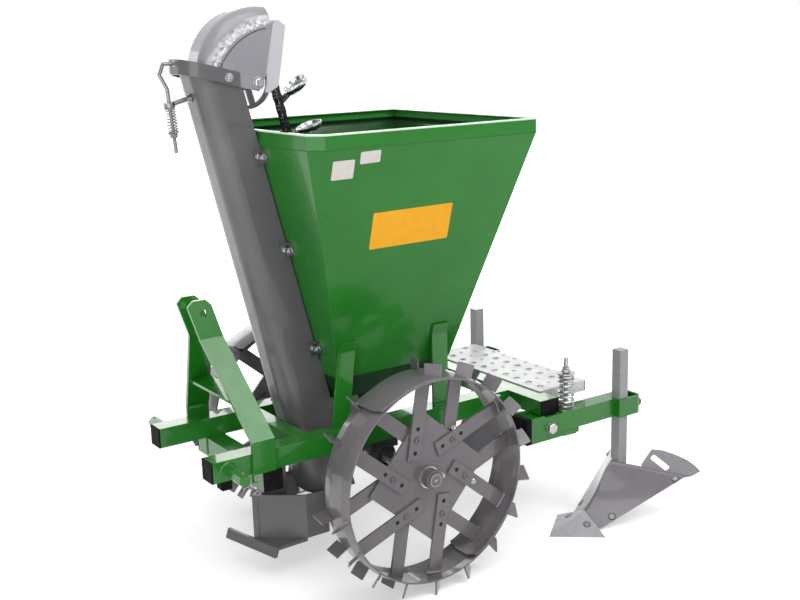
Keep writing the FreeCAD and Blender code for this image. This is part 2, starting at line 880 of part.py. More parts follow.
def make_chain():
    """Endless chain round both sprockets, with picking cups on the visible rising run."""
    outer = sprocket_radius + chain_thickness
    loop = racetrack(outer, chain_width / 2).cut(racetrack(sprocket_radius + chain_fit, chain_width))
    cups = []
    cup_x = -outer - cup_arm - cup_radius
    for step in range(cup_count):
        z = wheel_z + first_cup + cup_pitch * step - cup_depth / 2
        cup = rod((cup_x, 0, z), (cup_x, 0, z + cup_depth), cup_radius)
        cup = cup.cut(rod((cup_x, 0, z + cup_wall), (cup_x, 0, z + cup_depth + 1), cup_radius - cup_wall))
        neck = box((cup_x + cup_radius - 2, -outer + 1), (-6, 6), (z + 1, z + cup_depth - 1))
        cups.append(cup.fuse(neck))
    nodes["cup_chain"] = leaning(loop.fuse(cups), chain_lean)

    top_z = wheel_z + chain_length
    shaft_half = tube_width / 2 + hood_wall + 10.0
    shaft = rod((0, -shaft_half, top_z), (0, shaft_half, top_z), top_shaft_radius)
    top = sprocket_disc(top_z, sprocket_hub_radius)
    nodes["top_sprocket"] = leaning(top.fuse(shaft), chain_lean)
    lower = sprocket_disc(wheel_z, axle_radius + 12.0)
    bore = across(axle_radius, -sprocket_thickness, sprocket_thickness)
    nodes["bottom_sprocket"] = leaning(lower, chain_lean).cut(bore)


# ---- opener -------------------------------------------------------------------------
def make_opener(middle_rear_x):
    half = opener_half_width
    s = opener_plate
    slant = math.hypot(1.0, opener_nose_length / half)
    tip_wall = s * math.hypot(1.0, half / opener_nose_length)
    bend = s * (slant - 1) * opener_nose_length / half / slant
    shoulder = opener_nose_x - opener_nose_length
    outline = [
        (opener_nose_x, 0),
        (shoulder, half),
        (opener_rear_x, half),
        (opener_rear_x, half - s),
        (shoulder - bend, half - s),
        (opener_nose_x - tip_wall * slant, 0),
        (shoulder - bend, s - half),
        (opener_rear_x, s - half),
        (opener_rear_x, -half),
        (shoulder, -half),
    ]
    body = prism(outline, opener_bottom_z, opener_top_z, "z")
    shank_rear_x = middle_rear_x
    shank_front_x = middle_rear_x + middle_cross_depth
    foot_front_x = shank_rear_x + shank_foot_width
    web_front_x = opener_nose_x - tip_wall * slant
    shank = prism(
        [
            (shank_rear_x, beam_bottom_z),
            (shank_front_x, beam_bottom_z),
            (shank_front_x, shank_foot_z),
            (foot_front_x, opener_top_z),
            (web_front_x, opener_top_z - 12),
            (web_front_x, opener_bottom_z),
            (shank_rear_x, opener_bottom_z),
        ],
        -shank_thickness / 2,
        shank_thickness / 2,
    )
    nodes["opener_body"] = body
    nodes["opener_shank"] = shank.cut(body)

    # share blade set askew under the nose, and the sole plate that carries it
    back = share_thickness
    blade = prism(
        [
            (share_heel_x, share_heel_z),
            (share_heel_x - back, share_heel_z),
            (share_front_x - back, share_front_z),
            (share_front_x, share_front_z),
        ],
        -share_half_width,
        share_half_width,
    )
    blade.rotate(V(share_heel_x, 0, 0), V(0, 0, 1), share_skew_deg)
    sole = prism(
        [
            (share_heel_x - 4, 0),
            (share_heel_x - 4 - (half + 4) * math.tan(math.radians(share_skew_deg)), half + 4),
            (shoulder, half),
            (shoulder, -half / 3),
        ],
        opener_bottom_z - share_thickness,
        opener_bottom_z,
        "z",
    )
    nodes["opener_share"] = blade.fuse(sole).removeSplitter()


# ---- ridgers ------------------------------------------------------------------------
def ridger_bracket(arm_y, arm_z):
    """Box of plates notched round the rear cross beam, with the arm's pivot bolt."""
    low_z = arm_z[0] - 4.0
    outline = [
        (ridger_bracket_front_x, low_z),
        (ridger_bracket_front_x, ridger_bracket_hump_z),
        (rear_beam_front_x, ridger_bracket_hump_z),
        (rear_beam_front_x, rear_beam_bottom_z),
        (rear_beam_rear_x, rear_beam_bottom_z),
        (rear_beam_rear_x, ridger_bracket_hump_z),
        (ridger_bracket_rear_x, ridger_bracket_hump_z - 6.0),
        (ridger_bracket_rear_x, low_z),
    ]
    inner_y = arm_y[0] - ridger_side_gap - ridger_plate
    outer_y = arm_y[1] + ridger_side_gap
    inner = prism(outline, inner_y, inner_y + ridger_plate)
    outer = prism(outline, outer_y, outer_y + ridger_plate)
    floor = box(
        (ridger_bracket_rear_x, ridger_bracket_front_x),
        (inner_y, outer_y + ridger_plate),
        (low_z - ridger_plate, low_z),
    )
    pivot = rod((pivot_x, inner_y - 6, pivot_z), (pivot_x, outer_y + ridger_plate + 6, pivot_z), pivot_radius)
    return inner.fuse([outer, floor, pivot]).removeSplitter()


def ridger_arm(arm_y, arm_z):
    """Square tube with the tine's clamp box welded to its end."""
    tine_half = tine_size / 2
    holder_front_x = tine_x + tine_half + holder_wall
    arm = square_tube((holder_front_x, ridger_bracket_front_x), arm_y, arm_z, beam_wall, "x")
    arm = arm.cut(rod((pivot_x, arm_y[0] - 9, pivot_z), (pivot_x, arm_y[1] + 9, pivot_z), pivot_radius))
    holder_y = (row_half_spacing - tine_half - holder_wall, row_half_spacing + tine_half + holder_wall)
    holder_y = (min(holder_y[0], arm_y[0]), holder_y[1])
    holder = box((holder_rear_x, holder_front_x), holder_y, arm_z)
    corners = [
        edge
        for edge in holder.Edges
        if abs(edge.tangentAt(edge.FirstParameter).z) > 0.9 and edge.CenterOfMass.x < holder_rear_x + 1
    ]
    holder = holder.makeFillet(holder_corner_radius, corners)
    tine_y = (row_half_spacing - tine_half, row_half_spacing + tine_half)
    tine_room = box((tine_x - tine_half, tine_x + tine_half), tine_y, (arm_z[0] - 1, arm_z[1] + 1))
    rear_room = box(
        (holder_rear_x + holder_wall, tine_x - tine_half - holder_wall),
        (holder_y[0] + holder_wall, holder_y[1] - holder_wall),
        (arm_z[0] - 1, arm_z[1] + 1),
    )
    rod_room = rod(
        (spring_rod_x, ridger_arm_centre_y, arm_z[0] - 1),
        (spring_rod_x, ridger_arm_centre_y, arm_z[1] + 1),
        spring_rod_radius + 1.0,
    )
    middle_z = (arm_z[0] + arm_z[1]) / 2
    screw = rod(
        (holder_rear_x - 12, row_half_spacing, middle_z),
        (holder_rear_x + 1, row_half_spacing, middle_z),
        9.0,
    )
    return arm.fuse([holder.cut(tine_room).cut(rear_room), screw]).cut(rod_room).removeSplitter()


def ridger_spring(arm_z):
    """Pressure spring between the arm and a nut on its threaded rod."""

    def upright(low, high, radius):
        return rod((spring_rod_x, ridger_arm_centre_y, low), (spring_rod_x, ridger_arm_centre_y, high), radius)

    guide = upright(arm_z[0] - 4.0, spring_rod_top_z, spring_rod_radius)
    coil = upright(arm_z[1], arm_spring_top_z, arm_spring_radius)
    bore = upright(arm_z[1] - 1, arm_spring_top_z + 1, arm_spring_radius - 4.5)
    washer = upright(arm_spring_top_z, arm_spring_top_z + 3, arm_spring_radius + 1)
    nut = upright(arm_spring_top_z + 3, arm_spring_top_z + 15, 10.0)
    return guide.fuse([washer, nut, coil.cut(bore)])


def ridging_body():
    """Two mouldboards that share a curved, raked ridge; each is ruled to its lower edge."""
    y0 = row_half_spacing
    ridge = [V(x, y0, z) for x, z in ridge_curve]
    low = V(ridge_lower_x, y0 + ridge_lower_reach, ridge_lower_z)
    wing = V(ridge_wing_x, y0 + ridge_wing_reach, ridge_wing_z)
    steps = len(ridge) - 1
    near = [wing + (low - wing) * (index / steps) for index in range(steps + 1)]
    far = [V(p.x, 2 * y0 - p.y, p.z) for p in near]
    back = V(-ridger_sheet, 0, 0)
    loops = []
    for edge in (near, far):
        for index in range(steps):
            loops.append([ridge[index], edge[index], ridge[index + 1]])
            loops.append([ridge[index + 1], edge[index], edge[index + 1]])
    loops += [[corner + back for corner in loop] for loop in loops]
    rim = [ridge[0]] + near + [ridge[-1]] + far[::-1]
    for start, end in zip(rim, rim[1:] + rim[:1]):
        loops.append([start, end, end + back, start + back])
    return solid_of([[tuple(corner) for corner in loop] for loop in loops])


def make_ridgers():
    arm_half = ridger_arm_size / 2
    arm_y = (ridger_arm_centre_y - arm_half, ridger_arm_centre_y + arm_half)
    arm_z = (ridger_arm_top_z - ridger_arm_size, ridger_arm_top_z)
    tine_half = tine_size / 2
    tine_y = (row_half_spacing - tine_half, row_half_spacing + tine_half)
    y0 = row_half_spacing

    bracket = ridger_bracket(arm_y, arm_z)
    nodes["ridger_brackets"] = Part.makeCompound([bracket, mirrored(bracket)])
    arm = ridger_arm(arm_y, arm_z)
    nodes["ridger_arm_left"] = arm
    nodes["ridger_arm_right"] = mirrored(arm)
    spring = ridger_spring(arm_z)
    nodes["ridger_springs"] = Part.makeCompound([spring, mirrored(spring)])
    body = ridging_body()

    # adjustable rear wings, bolted behind the mouldboards
    low = V(ridge_lower_x, y0 + ridge_lower_reach, ridge_lower_z)
    wing = V(ridge_wing_x, y0 + ridge_wing_reach, ridge_wing_z)
    foot = V(ridge_curve[-1][0], y0, ridge_curve[-1][1])
    normal = (low - foot).cross(wing - foot)

    def on_board(reach, z):
        """Point on the mouldboard's plane, out to the side by reach."""
        y = y0 + reach
        x = foot.x - (normal.y * (y - foot.y) + normal.z * (z - foot.z)) / normal.x
        return V(x, y, z)

    corners = [on_board(reach, z) for reach, z in wing_outline]
    sheet = Part.Face(Part.makePolygon(corners + corners[:1])).extrude(V(-ridger_sheet, 0, 0))
    slot_low, slot_high = [on_board(reach, z) for reach, z in wing_slot]
    along = slot_high - slot_low
    across_slot = along.cross(normal)
    across_slot.normalize()
    side = across_slot * wing_slot_half_width
    slot_corners = [slot_low + side, slot_high + side, slot_high - side, slot_low - side]
    slot = Part.Face(Part.makePolygon(slot_corners + slot_corners[:1])).extrude(V(-4 * ridger_sheet, 0, 0))
    slot.translate(V(ridger_sheet, 0, 0))
    tail = sheet.cut(slot)
    tail.translate(V(-ridger_sheet, 0, 0))
    tails = [tail, tail.mirror(V(0, y0, 0), V(0, 1, 0))]

    # share point in front of the ridge
    tip = (point_tip_x, y0, 0)
    left = (point_rear_x, y0 + point_half_width, 0)
    right = (point_rear_x, y0 - point_half_width, 0)
    top = (point_top_x, y0, point_height)
    wedge = solid_of([[tip, left, right], [tip, right, top], [tip, top, left], [left, top, right]])
    hollow = wedge.copy()
    hollow.translate(V(-2 * ridger_sheet, 0, -0.8 * ridger_sheet))
    point = wedge.cut(hollow).cut(body)

    tine = box((tine_x - tine_half, tine_x + tine_half), tine_y, (tine_bottom_z, tine_top_z))
    ridge_top = ridge_curve[0]
    web = prism(
        [
            (ridge_curve[-1][0] - 4, ridge_curve[-1][1] - 12),
            (ridge_curve[-1][0] - 4, ridge_curve[-1][1]),
            (ridge_curve[2][0], ridge_curve[2][1]),
            (ridge_top[0] + 2, ridge_top[1] - 8),
            (tine_x, ridge_top[1] - 8),
            (tine_x, tine_bottom_z),
        ],
        y0 - 5,
        y0 + 5,
    )
    tine = biggest(tine.fuse(web).cut(body).cut(point))
    for name, left_piece in (("ridger_body", body), ("ridger_tine", tine)):
        nodes[name + "_left"] = left_piece
        nodes[name + "_right"] = mirrored(left_piece)
    wings = [piece.cut(body).cut(tine) for piece in tails]
    nodes["ridger_wings"] = Part.makeCompound(wings + [mirrored(piece) for piece in wings])
    nodes["ridger_points"] = Part.makeCompound([point, mirrored(point)])


def biggest(shape):
    """The largest solid of a shape."""
    return max(shape.Solids, key=lambda solid: solid.Volume)


# ---- axle and wheels ----------------------------------------------------------------
plate_outer_y = wheel_centre_y + wheel_plate_thickness * 1.33
plate_inner_y = plate_outer_y - wheel_plate_thickness
hub_outer_y = plate_outer_y + hub_outer_length
hub_inner_y = plate_inner_y - hub_inner_length


def across(radius, low, high):
    """Round bar about the axle line, between two distances from the middle."""
    return rod((0, low, wheel_z), (0, high, wheel_z), radius)


def make_axle():
    shaft_end = hub_outer_y + axle_end_gap + axle_end_ring
    shaft = across(axle_radius, -shaft_end, shaft_end)
    ring = across(axle_radius + 4, hub_outer_y + axle_end_gap, shaft_end)
    collar = across(
        axle_collar_radius,
        hub_inner_y - axle_end_gap - axle_collar_length,
        hub_inner_y - axle_end_gap,
    )
    nodes["wheel_axle"] = shaft.fuse([ring, mirrored(ring), collar, mirrored(collar)]).removeSplitter()

    half = 14.0
    housing = across(32.0, beam_centre_y - half, beam_centre_y + half)
    base = box((-40, 40), (beam_centre_y - half, beam_centre_y + half), (wheel_z + 18, beam_bottom_z))
    bore = across(axle_radius, beam_centre_y - half - 1, beam_centre_y + half + 1)
    bearing = housing.fuse(base).cut(bore).removeSplitter()
    above = box((-100, 100), (0, 400), (beam_bottom_z, beam_bottom_z + 100))
    bearing = bearing.cut(above)
    nodes["axle_bearings"] = Part.makeCompound([bearing, mirrored(bearing)])


def make_wheel(side):
    """One wheel, built on the left and mirrored for the right."""
    low_y = wheel_centre_y - rim_width / 2
    high_y = wheel_centre_y + rim_width / 2
    profile = [
        (low_y, rim_radius - rim_edge_drop),
        (low_y + rim_edge_width, rim_radius),
        (high_y - rim_edge_width, rim_radius),
        (high_y, rim_radius - rim_edge_drop),
    ]
    inner = [(y, radius - rim_thickness) for y, radius in profile]

    def turned(outline):
        """Outline of (y, radius) points spun about the axle."""
        corners = [V(radius, y, 0) for y, radius in outline]
        face = Part.Face(Part.makePolygon(corners + corners[:1]))
        ring = face.revolve(V(0, 0, 0), V(0, 1, 0), 360)
        ring.translate(V(0, 0, wheel_z))
        return ring

    rim = turned(profile + inner[::-1])
    filled_rim = turned([(low_y - 20, 0), (low_y - 20, rim_radius - rim_edge_drop)] + profile + [
        (high_y + 20, rim_radius - rim_edge_drop),
        (high_y + 20, 0),
    ])

    tip_circle = across(lug_tip_radius, low_y - 40, high_y + 40)
    lugs = []
    rows = (
        (1, outer_lug_start_deg, outer_lug_skew_deg, outer_lug_gaps),
        (-1, inner_lug_start_deg, inner_lug_skew_deg, inner_lug_gaps),
    )
    for row, start_deg, skew_deg, gaps in rows:
        for step in (number for number in range(lug_steps) if number not in gaps):
            lug = box(
                (-lug_tip_radius, -(rim_radius - 3)),
                (-lug_width / 2, lug_width / 2),
                (-lug_thickness / 2, lug_thickness / 2),
            )
            lug.rotate(V(0, 0, 0), V(1, 0, 0), skew_deg)
            lug.translate(V(0, wheel_centre_y + row * lug_offset_y, wheel_z))
            lug.rotate(V(0, 0, wheel_z), V(0, 1, 0), start_deg + 360.0 / lug_steps * step)
            lugs.append(lug.cut(filled_rim).common(tip_circle))

    inside = across(rim_radius - rim_thickness - spoke_end_gap, low_y, high_y)
    bars = []
    for index in range(spoke_count):
        for layer_y, offset in (
            (plate_outer_y, -spoke_offset),
            (plate_inner_y - wheel_plate_thickness, spoke_offset),
        ):
            bar = box(
                (spoke_start, rim_radius + 10),
                (layer_y, layer_y + wheel_plate_thickness),
                (offset - spoke_width / 2, offset + spoke_width / 2),
            )
            bar.translate(V(0, 0, wheel_z))
            bar.rotate(V(0, 0, wheel_z), V(0, 1, 0), spoke_turn_deg - 180 + 360.0 / spoke_count * index)
            bars.append(bar.common(inside))

    plate_half = centre_plate_side / 2
    plate = box(
        (-plate_half, plate_half),
        (plate_inner_y, plate_outer_y),
        (wheel_z - plate_half, wheel_z + plate_half),
    )
    plate.rotate(V(0, 0, wheel_z), V(0, 1, 0), 45 + centre_plate_turn_deg)
    hub = across(hub_radius, hub_inner_y, hub_outer_y)
    bore = across(axle_radius + axle_fit, hub_inner_y - 1, hub_outer_y + 1)
    pieces = {
        "wheel_rim": rim,
        "wheel_lugs": Part.makeCompound(lugs),
        "wheel_spokes": Part.makeCompound(bars),
        "wheel_hub": plate.fuse(hub).cut(bore).removeSplitter(),
    }
    for name, piece in pieces.items():
        nodes[name + "_" + side] = piece if side == "left" else mirrored(piece)


# ---- build --------------------------------------------------------------------------
middle_rear = make_frame()
make_caps()
top_link_x = make_headstock()
make_hitch_pins()
make_foot_plate()
make_hopper()
make_supports()
make_elevator_tube()
make_hood()
make_band()
make_tension_rod()
make_tube_clamps()
make_chain()
make_opener(middle_rear)
make_ridgers()
make_axle()
for wheel_side in ("left", "right"):
    make_wheel(wheel_side)

whole = Part.makeCompound(list(nodes.values())).BoundBox
origin_x = (whole.XMin + whole.XMax) / 2
print("origin x", round(origin_x, 4), "size", whole)
print("top link bore x", round(top_link_x - origin_x, 3))
print("hitch pin x", round(hitch_pin_x - origin_x, 3))
for name, shape in nodes.items():
    placed = shape.copy()
    placed.translate(V(-origin_x, 0, 0))
    placed.exportStep("parts/" + name + ".step")
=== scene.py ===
import json
from math import atan2, copysign, cos, exp, hypot, pi, radians, sin, sqrt, tan

import bmesh
import bpy
from mathutils import Matrix, Vector


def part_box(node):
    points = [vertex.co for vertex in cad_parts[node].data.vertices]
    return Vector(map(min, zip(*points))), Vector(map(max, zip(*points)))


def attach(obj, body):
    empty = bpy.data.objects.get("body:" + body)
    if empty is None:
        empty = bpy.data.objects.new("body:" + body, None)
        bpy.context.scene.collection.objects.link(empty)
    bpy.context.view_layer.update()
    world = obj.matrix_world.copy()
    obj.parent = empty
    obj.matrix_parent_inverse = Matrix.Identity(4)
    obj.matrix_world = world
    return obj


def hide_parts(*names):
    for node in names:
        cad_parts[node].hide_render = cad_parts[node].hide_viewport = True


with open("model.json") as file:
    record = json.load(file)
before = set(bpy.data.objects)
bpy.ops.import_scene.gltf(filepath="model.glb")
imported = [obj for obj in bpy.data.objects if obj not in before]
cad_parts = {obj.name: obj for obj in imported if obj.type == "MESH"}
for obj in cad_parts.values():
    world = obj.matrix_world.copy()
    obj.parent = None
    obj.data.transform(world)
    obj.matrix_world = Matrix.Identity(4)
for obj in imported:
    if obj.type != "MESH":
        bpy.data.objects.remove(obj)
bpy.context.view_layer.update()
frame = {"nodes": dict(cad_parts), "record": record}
nodes = frame["nodes"]
scene = bpy.context.scene
scene.view_settings.view_transform = "Standard"

# ---- places read from the frame ----
axle_low, axle_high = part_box("wheel_axle")
AXLE_X = (axle_low.x + axle_high.x) / 2
AXLE_Z = (axle_low.z + axle_high.z) / 2
AXLE = Vector((AXLE_X, 0, AXLE_Z))
UP = Vector((0, 0, 1))
LEFT = Vector((0, 1, 0))
FORWARD = Vector((1, 0, 0))
SIDES = (1, -1)


def here(x, y, z):
    """A place given in millimetres from the ground point under the axle."""
    return Vector((AXLE_X + x / 1000, y / 1000, z / 1000))


def mm(value):
    return value / 1000


# ---- camera ----
CAMERA_AT = here(1487.5, 2431.2, 1315.0)
CAMERA_TURN = radians(34.29)
CAMERA_DOWN = radians(13.01)
CAMERA_ROLL = radians(-1.57)
CAMERA_LENS = 51.22


def add_camera():
    data = bpy.data.cameras.new("camera")
    data.lens = CAMERA_LENS
    data.sensor_width = 36.0
    data.clip_end = 60.0
    camera = bpy.data.objects.new("camera", data)
    place = Matrix.Translation(CAMERA_AT)
    for axis, angle in (("Z", pi - CAMERA_TURN), ("X", pi / 2 - CAMERA_DOWN), ("Z", CAMERA_ROLL)):
        place @= Matrix.Rotation(angle, 4, axis)
    camera.matrix_world = place
    scene.collection.objects.link(camera)
    scene.camera = camera


# ---- materials ----
class Tree:
    """A node tree being built up. Each call adds a node and returns one of its outputs."""

    def __init__(self, owner):
        owner.use_nodes = True
        self.tree = owner.node_tree

    def feed(self, socket, value):
        """Link another node's output to a socket, or set the socket's own value."""
        if isinstance(value, bpy.types.NodeSocket):
            self.tree.links.new(value, socket)
        elif isinstance(value, tuple) and len(socket.default_value) == 4:
            socket.default_value = (*value, 1)
        else:
            socket.default_value = value

    def add(self, kind, sockets=None, out=0, **values):
        node = self.tree.nodes.new("ShaderNode" + kind)
        for key, value in values.items():
            setattr(node, key, value)
        for key, value in (sockets or {}).items():
            self.feed(node.inputs[key], value)
        return node.outputs[out]

    def vector(self, operation, first, second=(0.0, 0.0, 0.0), out="Vector"):
        return self.add("VectorMath", {0: first, 1: second}, out, operation=operation)

    def dot(self, first, second):
        return self.vector("DOT_PRODUCT", first, second, "Value")

    def number(self, operation, first, *others):
        """The same sum worked through a row of values."""
        for other in others:
            first = self.add("Math", {0: first, 1: other}, operation=operation)
        return first

    def scaled(self, source, low, high, from_low=0.0, from_high=1.0):
        ends = {"From Min": from_low, "From Max": from_high, "To Min": low, "To Max": high}
        return self.add("MapRange", {"Value": source, **ends})

    def rays(self, *kinds):
        """1 for rays of some kinds and 0 for the others."""
        path = self.add("LightPath").node.outputs
        return self.number("MAXIMUM", *[path[f"Is {kind} Ray"] for kind in kinds])


class Look(Tree):
    """A material on the Principled shader, its patterns fixed to the piece."""

    def __init__(self, name, rough=0.4, metallic=0.0, specular=0.5, coat=0.0, coat_rough=0.1, coat_ior=1.5):
        self.material = bpy.data.materials.new(name)
        super().__init__(self.material)
        self.shader = self.tree.nodes["Principled BSDF"]
        self.place = self.add("TexCoord", out="Object")
        self.set("Roughness", rough)
        self.set("Metallic", metallic)
        self.set("Specular IOR Level", specular)
        self.set("Coat Weight", coat)
        self.set("Coat Roughness", coat_rough)
        self.set("Coat IOR", coat_ior)

    def set(self, socket, value):
        self.feed(self.shader.inputs[socket], value)

    def noise(self, scale, detail=3.0, rough=0.5):
        grain = {"Scale": scale, "Detail": detail, "Roughness": rough}
        return self.add("TexNoise", {"Vector": self.place, **grain}, "Fac")

    def ramp(self, source, *stops):
        colour = self.add("ValToRGB", {"Fac": source})
        elements = colour.node.color_ramp.elements
        while len(elements) < len(stops):
            elements.new(0.5)
        for element, (position, tone) in zip(elements, stops):
            element.position = position
            element.color = (*tone, 1) if isinstance(tone, tuple) else (tone, tone, tone, 1)
        return colour

    def mixed(self, amount, first, second):
        return self.add("Mix", {"Factor": amount, "A": first, "B": second}, "Result", data_type="RGBA")

    def rounded(self, radius):
        """Normal of the surface with its edges rounded off."""
        return self.add("Bevel", {"Radius": radius}, samples=4)

    def edges(self, radius):
        """1 at sharp outer edges and 0 on flat faces, from the rounded normal."""
        flat = self.add("NewGeometry", out="Normal")
        return self.scaled(self.dot(self.rounded(radius), flat), 1.0, 0.0, 0.80, 0.995)

    def facing(self, centre):
        """1 on faces that look towards an upright line through a place, 0 on the others."""
        level = self.vector("MULTIPLY", self.vector("SUBTRACT", self.place, centre), (1.0, 1.0, 0.0))
        return self.scaled(self.dot(level, self.add("NewGeometry", out="Normal")), 1.0, 0.0, -0.02, 0.0)

    def bump(self, source, strength, distance=0.001, rounded=0.0):
        relief = {"Strength": strength, "Distance": distance, "Height": source}
        if rounded:
            relief["Normal"] = self.rounded(rounded)
        self.set("Normal", self.add("Bump", relief))


def rgb(red, green, blue):
    """Linear colour from the 0-255 numbers of a display."""
    shares = (value / 255 for value in (red, green, blue))
    return tuple(v / 12.92 if v <= 0.04045 else ((v + 0.055) / 1.055) ** 2.4 for v in shares)


looks = {}


def painted(name, base, dark, chip, rough, coat, wear=0.35, rounded=0.0012, specular=0.3, coat_rough=0.08, over=None):
    """Sprayed paint: cloudy tone, fine orange peel and rubbed edges; over may lay painted shade or a painted
    reflection on top.
    """
    look = Look(name, rough, 0.0, specular, coat, coat_rough, 1.3)
    tone = look.mixed(look.ramp(look.noise(5.0, 4.0, 0.6), (0.35, 0.0), (0.7, 1.0)), dark, base)
    rub = look.ramp(look.noise(90.0, 5.0, 0.7), (0.45, 0.0), (0.62, 1.0))
    worn = look.scaled(look.number("MULTIPLY", look.edges(0.0022), rub), 0.0, wear)
    outside = look.mixed(worn, tone, chip)
    look.set("Base Color", over(look, outside) if over else outside)
    look.set("Roughness", look.scaled(look.noise(28.0, 5.0, 0.65), rough - 0.06, rough + 0.10, 0.3, 0.7))
    look.bump(look.noise(420.0, 2.0, 0.5), 0.06, 0.0003, rounded)
    looks[name] = look.material


def zinc(name, tone, rough):
    """Bright plated steel with a slight blue and yellow bloom."""
    look = Look(name, rough, 1.0)
    warm = tuple(t * k for t, k in zip(tone, (1.04, 1.0, 0.90)))
    cool = tuple(t * k for t, k in zip(tone, (0.88, 0.94, 1.02)))
    look.set("Base Color", look.ramp(look.noise(55.0, 3.0, 0.5), (0.35, cool), (0.5, tone), (0.68, warm)))
    look.set("Roughness", look.scaled(look.noise(220.0, 3.0, 0.6), rough - 0.08, rough + 0.14, 0.3, 0.7))
    look.bump(look.noise(300.0, 2.0, 0.5), 0.12, 0.0003, 0.0006)
    looks[name] = look.material


def mottled(name, clouds, dark, light, grain, relief, **shader):
    """Two tones in soft patches, over a fine grain."""
    look = Look(name, **shader)
    look.set("Base Color", look.ramp(look.noise(*clouds), dark, light))
    look.bump(look.noise(*grain), *relief)
    looks[name] = look.material
    return look


GREEN_CHIP = rgb(96, 156, 90)
hopper_low, hopper_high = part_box("hopper")
HOPPER_MIDDLE = (hopper_low + hopper_high) / 2
# Painted light inside the hopper: darker inner faces as painted shade, a painted shadow line and a painted lit band
# on the rim's inner face.
HOPPER_INSIDE_SHADE = (0.012, 0.066, 0.016)
RIM_INSIDE_PAINTED_LIGHT = (0.036, 0.250, 0.044)
RIM_SHADOW = (0.003, 0.016, 0.004)
RIM_LOW = hopper_high.z - 0.022
FLANGE_LINE = (1.0, 0.0, 0.23)
FLANGE_EDGE = AXLE_X + 0.5144
FLANGE_TOP = 1.361
# Paler flange tone: a painted reflection on the hood's turned-out flanges.
FLANGE_PAINTED_REFLECTION = rgb(158, 157, 163)
# Silver band along the hood weld: partly brushed weld metal, partly a painted highlight.
WELD_SILVER_AND_HIGHLIGHT = rgb(214, 213, 219)
HOOD_WELD = ((353.0, 1262.0), (309.0, 1315.0), (221.0, 1352.0))


def circle_through(a, b, c):
    """Centre and radius of the circle through three (x, z) places."""
    (ax, az), (bx, bz), (cx, cz) = a, b, c
    d = 2 * (ax * (bz - cz) + bx * (cz - az) + cx * (az - bz))
    a2, b2, c2 = ax * ax + az * az, bx * bx + bz * bz, cx * cx + cz * cz
    ux = (a2 * (bz - cz) + b2 * (cz - az) + c2 * (az - bz)) / d
    uz = (a2 * (cx - bx) + b2 * (ax - cx) + c2 * (bx - ax)) / d
    return ux, uz, hypot(ax - ux, az - uz)


def inside_painted_shade(look, tone):
    """Painted shade: the hopper's inner faces are a darker green, with a painted shadow line just under the rim band
    and a painted lighter band on the rim's inner face.
    """
    height = look.dot(look.place, (0.0, 0.0, 1.0))
    shade = look.mixed(look.scaled(height, 0.0, 1.0, RIM_LOW - 0.010, RIM_LOW - 0.006), HOPPER_INSIDE_SHADE, RIM_SHADOW)
    inner = look.mixed(look.scaled(height, 0.0, 1.0, RIM_LOW, RIM_LOW + 0.003), shade, RIM_INSIDE_PAINTED_LIGHT)
    return look.mixed(look.facing(HOPPER_MIDDLE), tone, inner)


def hood_weld_silver_and_painted_reflection(look, tone):
    """Bright silver along the hood's weld, partly brushed metal and partly a painted highlight, and a painted
    reflection that makes the turned-out flanges paler.
    """
    ux, uz, radius = circle_through(*HOOD_WELD)
    flat = look.vector("MULTIPLY", look.vector("SUBTRACT", look.place, here(ux, 0, uz)), (1.0, 0.0, 1.0))
    reach = look.vector("LENGTH", flat, out="Value")
    height = look.dot(look.place, (0.0, 0.0, 1.0))
    across = look.dot(look.place, FLANGE_LINE)
    edge = mm(radius)
    # Band of silver beside the weld arc, part brushed metal and part painted highlight.
    brush_and_highlight = look.number(
        "MULTIPLY",
        look.scaled(reach, 0.0, 1.0, edge - 0.002, edge + 0.004),
        look.scaled(reach, 1.0, 0.0, edge + 0.009, edge + 0.022),
        look.scaled(height, 0.0, 1.0, 1.258, 1.266),
        look.scaled(across, 0.0, 1.0, FLANGE_EDGE, FLANGE_EDGE + 0.006),
        look.ramp(look.noise(70.0, 5.0, 0.7), (0.40, 0.0), (0.60, 1.0)),
    )
    flange_reflection = look.number(
        "MULTIPLY",
        look.scaled(across, 1.0, 0.0, FLANGE_EDGE - 0.001, FLANGE_EDGE),
        look.scaled(height, 1.0, 0.0, FLANGE_TOP, FLANGE_TOP + 0.001),
    )
    return look.mixed(flange_reflection, look.mixed(brush_and_highlight, tone, WELD_SILVER_AND_HIGHLIGHT), FLANGE_PAINTED_REFLECTION)


painted("green_paint", rgb(26, 108, 25), rgb(21, 97, 21), GREEN_CHIP, 0.28, 1.0, 0.35, 0.0012, 0.25, 0.05)
# Hopper green, with painted shade and painted light on its inner faces.
painted(
    "hopper_green_paint", rgb(25, 109, 26), rgb(21, 99, 23), GREEN_CHIP, 0.30, 0.6, 0.3, 0.0012, 0.2, over=inside_painted_shade
)
# Hopper boot: green, darkened well below the hopper green as painted shade under the hopper.
painted("boot_green_painted_shade", rgb(30, 74, 36), rgb(20, 56, 27), rgb(70, 104, 72), 0.5, 0.0, specular=0.03)
painted("grey_paint", rgb(91, 89, 91), rgb(80, 78, 80), rgb(160, 158, 158), 0.34, 0.7)
painted(
    "hood_grey_paint", rgb(136, 135, 140), rgb(125, 124, 130), rgb(190, 190, 192), 0.30, 1.0, over=hood_weld_silver_and_painted_reflection
)
painted("wheel_grey_paint", rgb(102, 97, 101), rgb(84, 80, 84), rgb(176, 174, 176), 0.30, 0.9)
painted("ridger_steel", rgb(112, 108, 114), rgb(98, 94, 100), rgb(190, 188, 192), 0.28, 0.9)
painted("share_steel", rgb(160, 158, 163), rgb(146, 144, 150), rgb(205, 204, 206), 0.26, 0.9)
painted("tine_steel", rgb(138, 139, 141), rgb(124, 125, 127), rgb(190, 190, 190), 0.30, 0.9)
